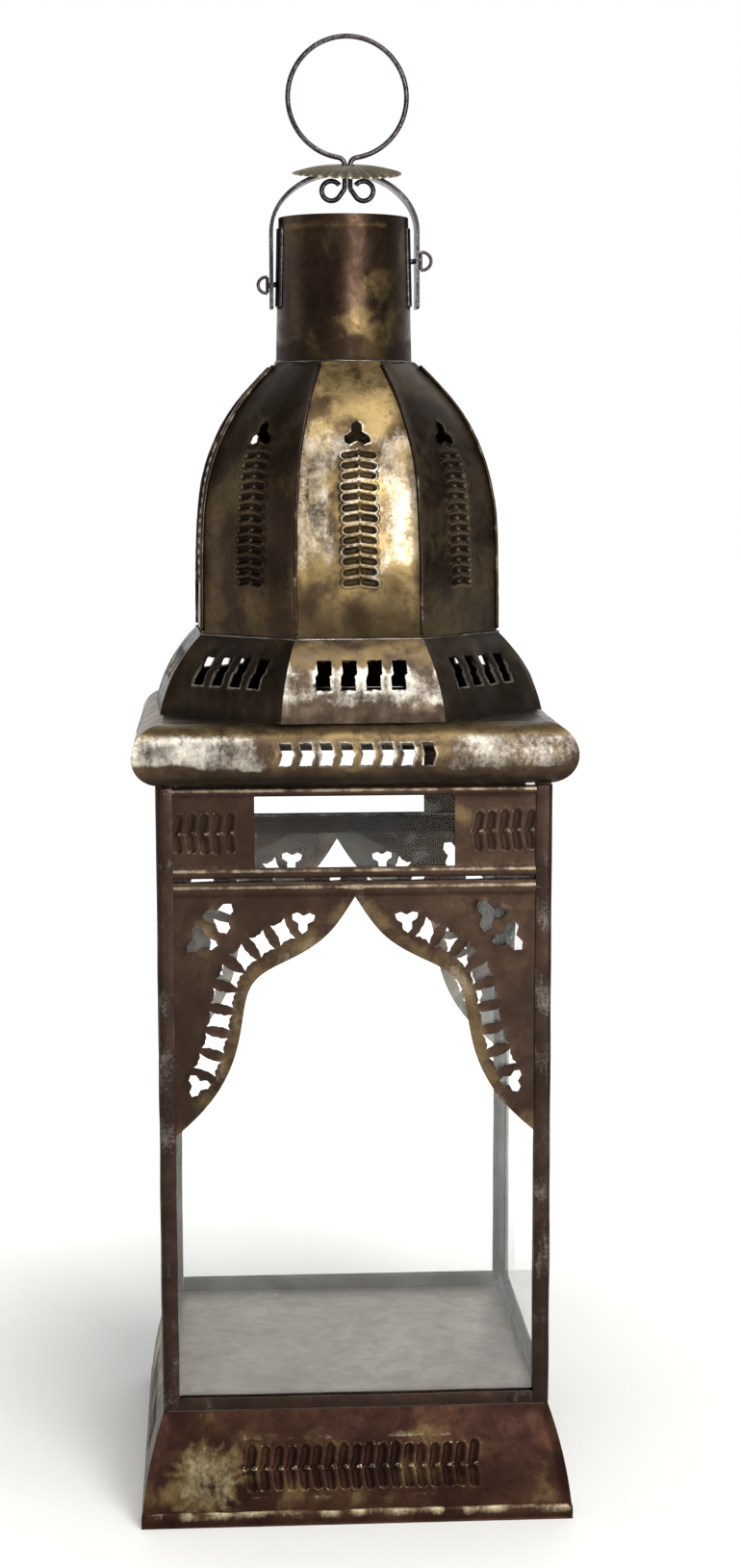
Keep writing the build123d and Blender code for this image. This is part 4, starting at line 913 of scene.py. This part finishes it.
# The two halves of each skirt slot are struck a little to the side of each other.
w, m, h = 3.5, 2.9, 6.0
slot = [(-w + 0.9, h), (w, h), (w, 0.5), (m, 0), (w - 0.9, -0.4), (w - 0.9, -h), (-w, -h), (-w, -0.4), (-m, 0),
        (-w + 0.9, 0.5)]
STAMP_ROWS, STAMP_LOW, STAMP_PITCH = 13, 386.0, 4.33
dome_hole = trefoil(0.3, dome_v(445.2), 6.6, 0)
for number in range(1, 9):
    turn = 45 * (number - 1) + ROOF_TURN
    # Painted light: the front panel of skirt and dome gets a brighter patina copy with extra pale and gold, for the
    # face the light falls on.
    painted_lit_front = number == 1
    holes = [ragged([(-15.3 + 10.2 * k + a, skirt_profile.where(349.6 + b)) for a, b in slot],
                    500 + 9 * number + k, 0.3, 0.6) for k in range(4)]
    uv, faces = lay_out(skirt_outline, holes, [(-21, 21, skirt_profile.where(341), skirt_profile.where(358), 0.7)], 1.5)
    flat = mitred(skirt_profile, turn, uv, np.zeros(len(uv)))
    z, near, to_edge = flat[:, 2], distance(uv, holes), distance(uv, [skirt_outline])
    lift = smooth(0.3, 3.0, to_edge) * (0.30 * ripples(flat, 51, 34.0) + 0.08 * ripples(flat, 52, 10.0))
    burr = np.exp(-near / 0.55) * (0.35 + 0.30 * ripples(flat, 53, 3.0)) * smooth(353, 346, z + 2)
    lift = lift + burr - 0.25 * np.exp(-near / 2.2)
    wear_and_painted_highlight = 0.9 * np.exp(-near / 0.7) * smooth(356, 347, z) + 0.35 * np.exp(-near / 0.8)
    wear_and_painted_highlight += 0.5 * smooth(1.6, 0.4, to_edge) * smooth(-0.6, 0.8, ripples(flat, 54, 12.0))
    # Painted highlight: a pale zone across the middle and lower part of the front panel.
    if painted_lit_front:
        wear_and_painted_highlight += smooth(334, 340, z + 1.5 * ripples(flat, 57, 9.0)) * smooth(355, 350, z) * (
            0.66 + 0.2 * ripples(flat, 58, 16.0))
    gilt = smooth(349, 355, z) * (0.8 + 0.3 * ripples(flat, 59, 20.0)) * (1.0 if painted_lit_front else 0.5)
    # Darker towards the foot of each panel.
    grime_and_painted_shade = 0.6 * smooth(338, 331, z + 1.5 * ripples(flat, 60, 9.0))
    piece = mitred_sheet(f"skirt_sheet_{number}", skirt_profile, turn, uv, faces, lift, wear_and_painted_highlight, grime_and_painted_shade, gilt)
    finish_piece(piece, "lantern_body", "skirt_patina", [f"skirt_panel_{number}"], "skirt_painted_lit_front" if painted_lit_front else None)

    hole = ragged(dome_hole, 600 + number, 0.25, 0.7)
    v0, v1 = dome_v(STAMP_LOW - 3.5), dome_v(STAMP_LOW + STAMP_PITCH * 12 + 3.5)
    uv, faces = lay_out(dome_outline, [hole], [(-8.5, 9.5, v0, v1, 0.45), (-10, 10, v1, dome_v(454), 0.8)], 1.9)
    flat = mitred(dome_profile, turn, uv, np.zeros(len(uv)))
    u, z, near, to_edge = uv[:, 0], flat[:, 2], distance(uv, [hole]), distance(uv, [dome_outline])
    lift, pale, dirt_and_painted_shade = rows_of_braces(uv, (0.6, dome_v(STAMP_LOW + STAMP_PITCH * 6)), STAMP_PITCH, STAMP_ROWS, half=7.0,
                                      waist=1.35, upright=False, depth=1.15, rim=0.45, seed=700 + number)
    bulge = 0.9 * (1 - (u / (dome_profile.at(uv[:, 1])[0] * OCTAGON)) ** 2) - 0.5
    lift = lift + smooth(0.3, 3.5, to_edge) * (bulge + 0.22 * ripples(flat, 55, 40.0) + 0.06 * ripples(flat, 56, 13.0))
    lift = lift + 0.3 * np.exp(-near / 0.7)
    # The front gore gets more pale on its marks and round its hole: painted light.
    wear_and_painted_highlight = (0.45 if painted_lit_front else 0.22) * pale + (0.7 if painted_lit_front else 0.3) * np.exp(-near / 0.6)
    gilt = (0.75 if number == 2 else 0.25) + 0.5 * ripples(flat, 65, 34.0)
    # Painted light on the front gore: a pale band between about 380 and 460 mm up, strongest towards both sides, and
    # painted shade darkening its lower part; it is also darker along its edges.
    if painted_lit_front:
        height = z + 5 * ripples(flat, 66, 16.0)
        across = u + 4 * ripples(flat, 67, 13.0)
        sheen = smooth(380, 398, height) * smooth(462, 440, height)
        wear_and_painted_highlight = wear_and_painted_highlight + sheen * (0.22 + 0.42 * smooth(2, 13, across) + 0.42 * smooth(-5, -13, across))
        dirt_and_painted_shade = dirt_and_painted_shade + 1.0 * smooth(402, 368, height) + 0.5 * smooth(2.6, 1.0, to_edge)
        gilt = 0.5 + 0.5 * smooth(438, 455, height) + 0.4 * ripples(flat, 65, 20.0)
    piece = mitred_sheet(f"dome_sheet_{number}", dome_profile, turn, uv, faces, lift, wear_and_painted_highlight, dirt_and_painted_shade, gilt)
    finish_piece(piece, "lantern_body", "dome_patina", [f"dome_gore_{number}"], "dome_painted_lit_front" if painted_lit_front else None)

# Standing seams between the gores, and the solder that joins the dome to the skirt and the chimney.
path = np.stack([dome_profile.p[:, 0] / CORNER, dome_profile.p[:, 1]], 1)[::2] + dome_profile.n[::2] * 0.25
seams = []
for number in range(8):
    points = place(45 * number + 22.5 + ROOF_TURN, np.zeros(len(path)), *path.T)
    points[:, :2] += 0.12 * np.stack([ripples(points, 80 + number, 25.0), ripples(points, 90 + number, 25.0)], 1)
    seams.append(tube(f"seam_{number}", points[1:-1], 0.82, 12, seed=number, rough=0.06))
finish_piece(join("dome_seam_rolls", seams), "lantern_body", "dome_patina", ["dome_seams"])

t = np.radians(np.arange(0, 360, 2.5))
round_line = np.stack([28.95 * np.cos(t), 28.95 * np.sin(t), np.full(len(t), CHIMNEY_LOW + 0.2)], 1)
corners = [place(45 * k - 22.5 + ROOF_TURN, np.zeros(1), np.array([SKIRT_OUTLINE[-1][0] / CORNER]),
                 np.array([SKIRT_TOP + 0.1]))[0] for k in range(9)]
eight_sided = np.array([a + (b - a) * t for a, b in zip(corners, corners[1:]) for t in np.linspace(0, 1, 26)[:-1]])
for name, points, wire in (("skirt_solder", eight_sided, 0.42), ("chimney_solder", round_line, 0.5)):
    thick = np.clip(wire * (1 + 0.35 * ripples(points, 97, 9.0)), 0.3, 0.9)
    finish_piece(tube(name, points, thick, 10, closed=True, seed=5, rough=0.1), "lantern_body", "dome_patina",
                 look="solder")

# --- chimney
chimney_profile = Profile(np.stack([np.linspace(*CHIMNEY_RADII, 60), np.linspace(CHIMNEY_LOW, CHIMNEY_TOP, 60)], 1))
columns, rows = 220, 64
theta = np.radians(np.linspace(90.3, 449.7, columns))
tt, vv = (a.ravel() for a in np.meshgrid(theta, np.linspace(0, chimney_profile.length, rows)))
r, z = chimney_profile.at(vv)[:2]
faces = []
for i in range(rows - 1):
    for a in range(i * columns, (i + 1) * columns - 1):
        faces += [(a, a + 1, a + columns + 1), (a, a + columns + 1, a + columns)]
flat = np.stack([r * np.cos(tt), r * np.sin(tt), z], 1)
free = smooth(0.75, 0.5, np.abs(np.cos(tt)))          # calm beside the lugs
dents = free * (0.16 * ripples(flat, 61, 26.0) + 0.05 * ripples(flat, 62, 9.0)) - 0.12
dents -= 0.35 * free * hump(z - CHIMNEY_TOP + 4.2, 0.5) * smooth(0.1, 0.8, np.abs(ripples(flat, 63, 40.0)))
skins = [np.stack([(r + h) * np.cos(tt), (r + h) * np.sin(tt), z], 1) for h in (dents, dents - SHEET)]
wear_and_painted_highlight = np.clip(0.5 * smooth(2.0, 0.3, CHIMNEY_TOP - z) + 0.35 * smooth(0.2, 1.1, ripples(flat, 64, 20.0)), 0, 1)
foot = z - CHIMNEY_LOW + 1.6 * ripples(flat, 68, 12.0)
gilt = 1.3 * hump(z - CHIMNEY_TOP + 4.6, 1.0) * smooth(-0.4, 0.6, ripples(flat, 69, 24.0))
gilt += smooth(0.2, 1.3, ripples(flat, 70, 22.0)) + 0.9 * hump(np.hypot(flat[:, 0] - 4, (foot - 16) * 0.8), 9)
# Darker towards the foot of the chimney.
piece = close_sheet("chimney_sheet", *skins, np.array(faces), 0.7 * wear_and_painted_highlight, 0.75 * smooth(9.5, 7.5, foot), gilt)
finish_piece(piece, "lantern_body", "chimney_patina", ["chimney"])

# --- lugs and pins
for side in ("left", "right"):
    dress(f"lug_{side}", "lantern_body", "strap_steel", 4.0, 2, 0.12, 0.0, 5, 0.2)
for side in ("left", "right"):
    dress(f"pin_{side}", "lantern_body", "wire_steel", 0.0, 2, 0.05, 0.0, 2, 0.4)

# --- bail
leg = np.linspace(0, 1, 22)
span = [(BAIL_X - BAIL_HALF, BAIL_FOOT + t * (BAIL_SPRING - BAIL_FOOT)) for t in leg[:-1]]
span += [(BAIL_X + BAIL_HALF * math.cos(t), BAIL_SPRING + (BAIL_CROWN - BAIL_SPRING) * math.sin(t))
         for t in np.radians(np.linspace(180, 0, 60))]
span += [(BAIL_X + BAIL_HALF, BAIL_SPRING + t * (BAIL_FOOT - BAIL_SPRING)) for t in leg[1:]]
strap_profile = Profile(np.array(span)[::-1])
STRAP_HALF, STRAP_HEM = 6.2, 0.75
crown = slice(20, -20)
hole_v = float(np.interp(-RING_X, -strap_profile.p[crown, 0], strap_profile.s[crown]))
circle = [(2.6 * math.cos(a), hole_v + 2.6 * math.sin(a)) for a in np.linspace(0, 2 * math.pi, 26)[:-1]]
uv, faces = lay_out(rectangle(-STRAP_HALF, STRAP_HALF, 0, strap_profile.length, 1.2), [circle], [], 0.75, 0.3)


def strap_surface(uv, lift):
    x, z, nx, nz = strap_profile.at(uv[:, 1])
    return np.stack([x + lift * nx, uv[:, 0], z + lift * nz], 1)


across = np.abs(uv[:, 0])
rib = np.cos(uv[:, 0] / STRAP_HALF * 2.5 * math.pi)
hem_height = 0.55 * np.sqrt(np.clip(1 - ((across - STRAP_HALF + STRAP_HEM) / STRAP_HEM) ** 2, 0, 1))
lift = 0.5 + np.maximum(hem_height, 0.22 * rib * smooth(STRAP_HALF - 1.2, STRAP_HALF - 2.0, across))
keep_flat = smooth(6.0, 3.4, np.hypot(uv[:, 0], uv[:, 1] - hole_v))
lift = np.where(lift > 0.5, 0.5 + (lift - 0.5) * (1 - keep_flat), lift)
flat = strap_surface(uv, lift)
wear_and_painted_highlight = 0.2 + 0.8 * hem_height + 0.25 * ripples(flat, 71, 12.0)
bail = close_sheet("bail_strap", flat, strap_surface(uv, -0.5), faces, wear_and_painted_highlight, 0.4 * smooth(0.1, -0.2, rib))
finish_piece(bail, "bail", "strap_steel", ["bail"])

# --- hanging ring
dress("hanging_ring", "hanging_ring", "wire_steel", 0.0, 2, 0.05, 0.0, 4, 0.35, "hanging_ring_wire")

# --- rosette cap
FLUTES, columns, rows = 32, 384, 34
th, q = (a.ravel() for a in np.meshgrid(np.linspace(0, 2 * math.pi, columns, endpoint=False), np.linspace(0, 1, rows)))
scallop = 0.5 + 0.5 * np.cos(FLUTES * th)
reach = CAP_RADIUS * (1 - 0.045 * (1 - scallop) - 0.012 * (1 + np.sin(3 * th + 1)))
rad = CAP_HOLE + q * (reach - CAP_HOLE)
cap_line = arc_through((CAP_HOLE, CAP_RISE), (CAP_RADIUS * 0.62, CAP_RISE * 0.7), (CAP_RADIUS, 0), 50)
dome = np.interp(rad, *cap_line.T)
ripple = 0.62 * smooth(0.15, 0.9, q) * (scallop - 1)
bends = 0.25 * smooth(0.5, 1.0, q) * (np.sin(2 * th + 0.7) - 1)
faces = []
for i in range(rows - 1):
    for j in range(columns):
        a, b = i * columns + j, i * columns + (j + 1) % columns
        faces += [(a, a + columns, b + columns), (a, b + columns, b)]
c, s = math.cos(math.radians(CAP_TILT)), math.sin(math.radians(CAP_TILT))
x, y = rad * np.cos(th), rad * np.sin(th)
skins = [np.stack([x + RING_X, y * c - z * s, CAP_Z + y * s + z * c], 1)
         for z in (dome + (ripple + bends), dome + (ripple * 0.8 + bends - 0.6))]
wear_and_painted_highlight = 0.55 * smooth(0.5, 1.0, scallop) * smooth(0.3, 0.9, q) + 0.4 * smooth(0.93, 1.0, q)
grime_and_painted_shade = 0.5 * smooth(0.35, 0.0, scallop) * smooth(0.2, 0.9, q)
piece = close_sheet("rosette_cap_fluted", *skins, np.array(faces), wear_and_painted_highlight, grime_and_painted_shade)
finish_piece(piece, "rosette_cap", "cap_brass", ["rosette_cap"])

# --- CAD nodes that stay
KEPT = {"floor_plate": "floor_metal", "roof_plate": "cornice_patina", "hinge_rod": "wire_steel"}
for name, obj in nodes.items():
    if not obj.hide_render:
        obj.data.materials.clear()
        obj.data.materials.append(looks[KEPT.get(name, "pane_glass")])

# --- floor, world and lights
stage = Surface("stage_floor")
position = stage.new("NewGeometry").outputs["Position"]
split, far = stage.new("SeparateXYZ"), stage.new("VectorMath")
far.operation = "LENGTH"
stage.link(position, split.inputs[0])
stage.link(position, far.inputs[0])
floor_colour = stage.mix(stage.step(split.outputs[1], 0.44, 0.62), (0.82, 0.815, 0.785), (0.84, 0.84, 0.83))
stage.shader.inputs["Roughness"].default_value = 0.55
stage.shader.inputs["Emission Color"].default_value = (0.66, 0.655, 0.63, 1)
stage.finish(0.0, Base_Color=floor_colour, Emission_Strength=stage.step(far.outputs["Value"], 0.11, 0.6))
HALF_FLOOR = 9000
corners = [(x * HALF_FLOOR, y * HALF_FLOOR, 0) for x, y in ((-1, -1), (1, -1), (1, 1), (-1, 1))]
floor = make_object("stage_floor", corners, [(0, 1, 2, 3)])
floor.data.materials.append(stage.material)

# The world lights more from behind than from in front, and is plain white where the camera sees it.
world = bpy.data.worlds.new("studio")
bpy.context.scene.world = world
world.use_nodes = True
sky = Nodes(world.node_tree)
back, toward = sky.new("Background"), sky.new("SeparateXYZ")
sky.link(back.outputs[0], sky.new("OutputWorld").inputs["Surface"])
sky.link(sky.new("TexCoord").outputs["Generated"], toward.inputs[0])
ramp = sky.mix(sky.step(toward.outputs[1], 0.05, 0.8), (0.26, 0.26, 0.265), (0.97, 0.97, 0.97))
sky.link(sky.mix(sky.new("LightPath").outputs["Is Camera Ray"], ramp, (1.0, 1.0, 1.0)), back.inputs["Color"])


def softbox(name, location, target, size, power):
    light = bpy.data.lights.new(name, "AREA")
    light.shape = "RECTANGLE"
    light.size, light.size_y = size
    light.energy = power
    obj = bpy.data.objects.new(name, light)
    obj.location = location
    obj.rotation_euler = (Vector(target) - Vector(location)).to_track_quat("-Z", "Y").to_euler()
    bpy.context.scene.collection.objects.link(obj)


softbox("key_right", (0.62, -1.75, 0.75), (0, 0, 0.40), (0.55, 1.1), 34)
softbox("overhead", (0.25, -0.75, 1.65), (0, 0, 0.33), (1.3, 0.9), 22)
softbox("side_left", (-1.7, 0.1, 0.5), (0, 0, 0.2), (0.8, 0.9), 3)

camera = bpy.data.cameras.new("camera")
camera.lens = 60.1
camera.sensor_width = 36.0
camera.clip_end = 60.0
viewer = bpy.data.objects.new("camera", camera)
viewer.location = (-0.0552, -1.1189, 0.4415)
viewer.rotation_euler = (math.radians(90 - 7.39), math.radians(0.12), math.radians(-3.40))
bpy.context.scene.collection.objects.link(viewer)
bpy.context.scene.camera = viewer
bpy.context.scene.view_settings.view_transform = "Standard"
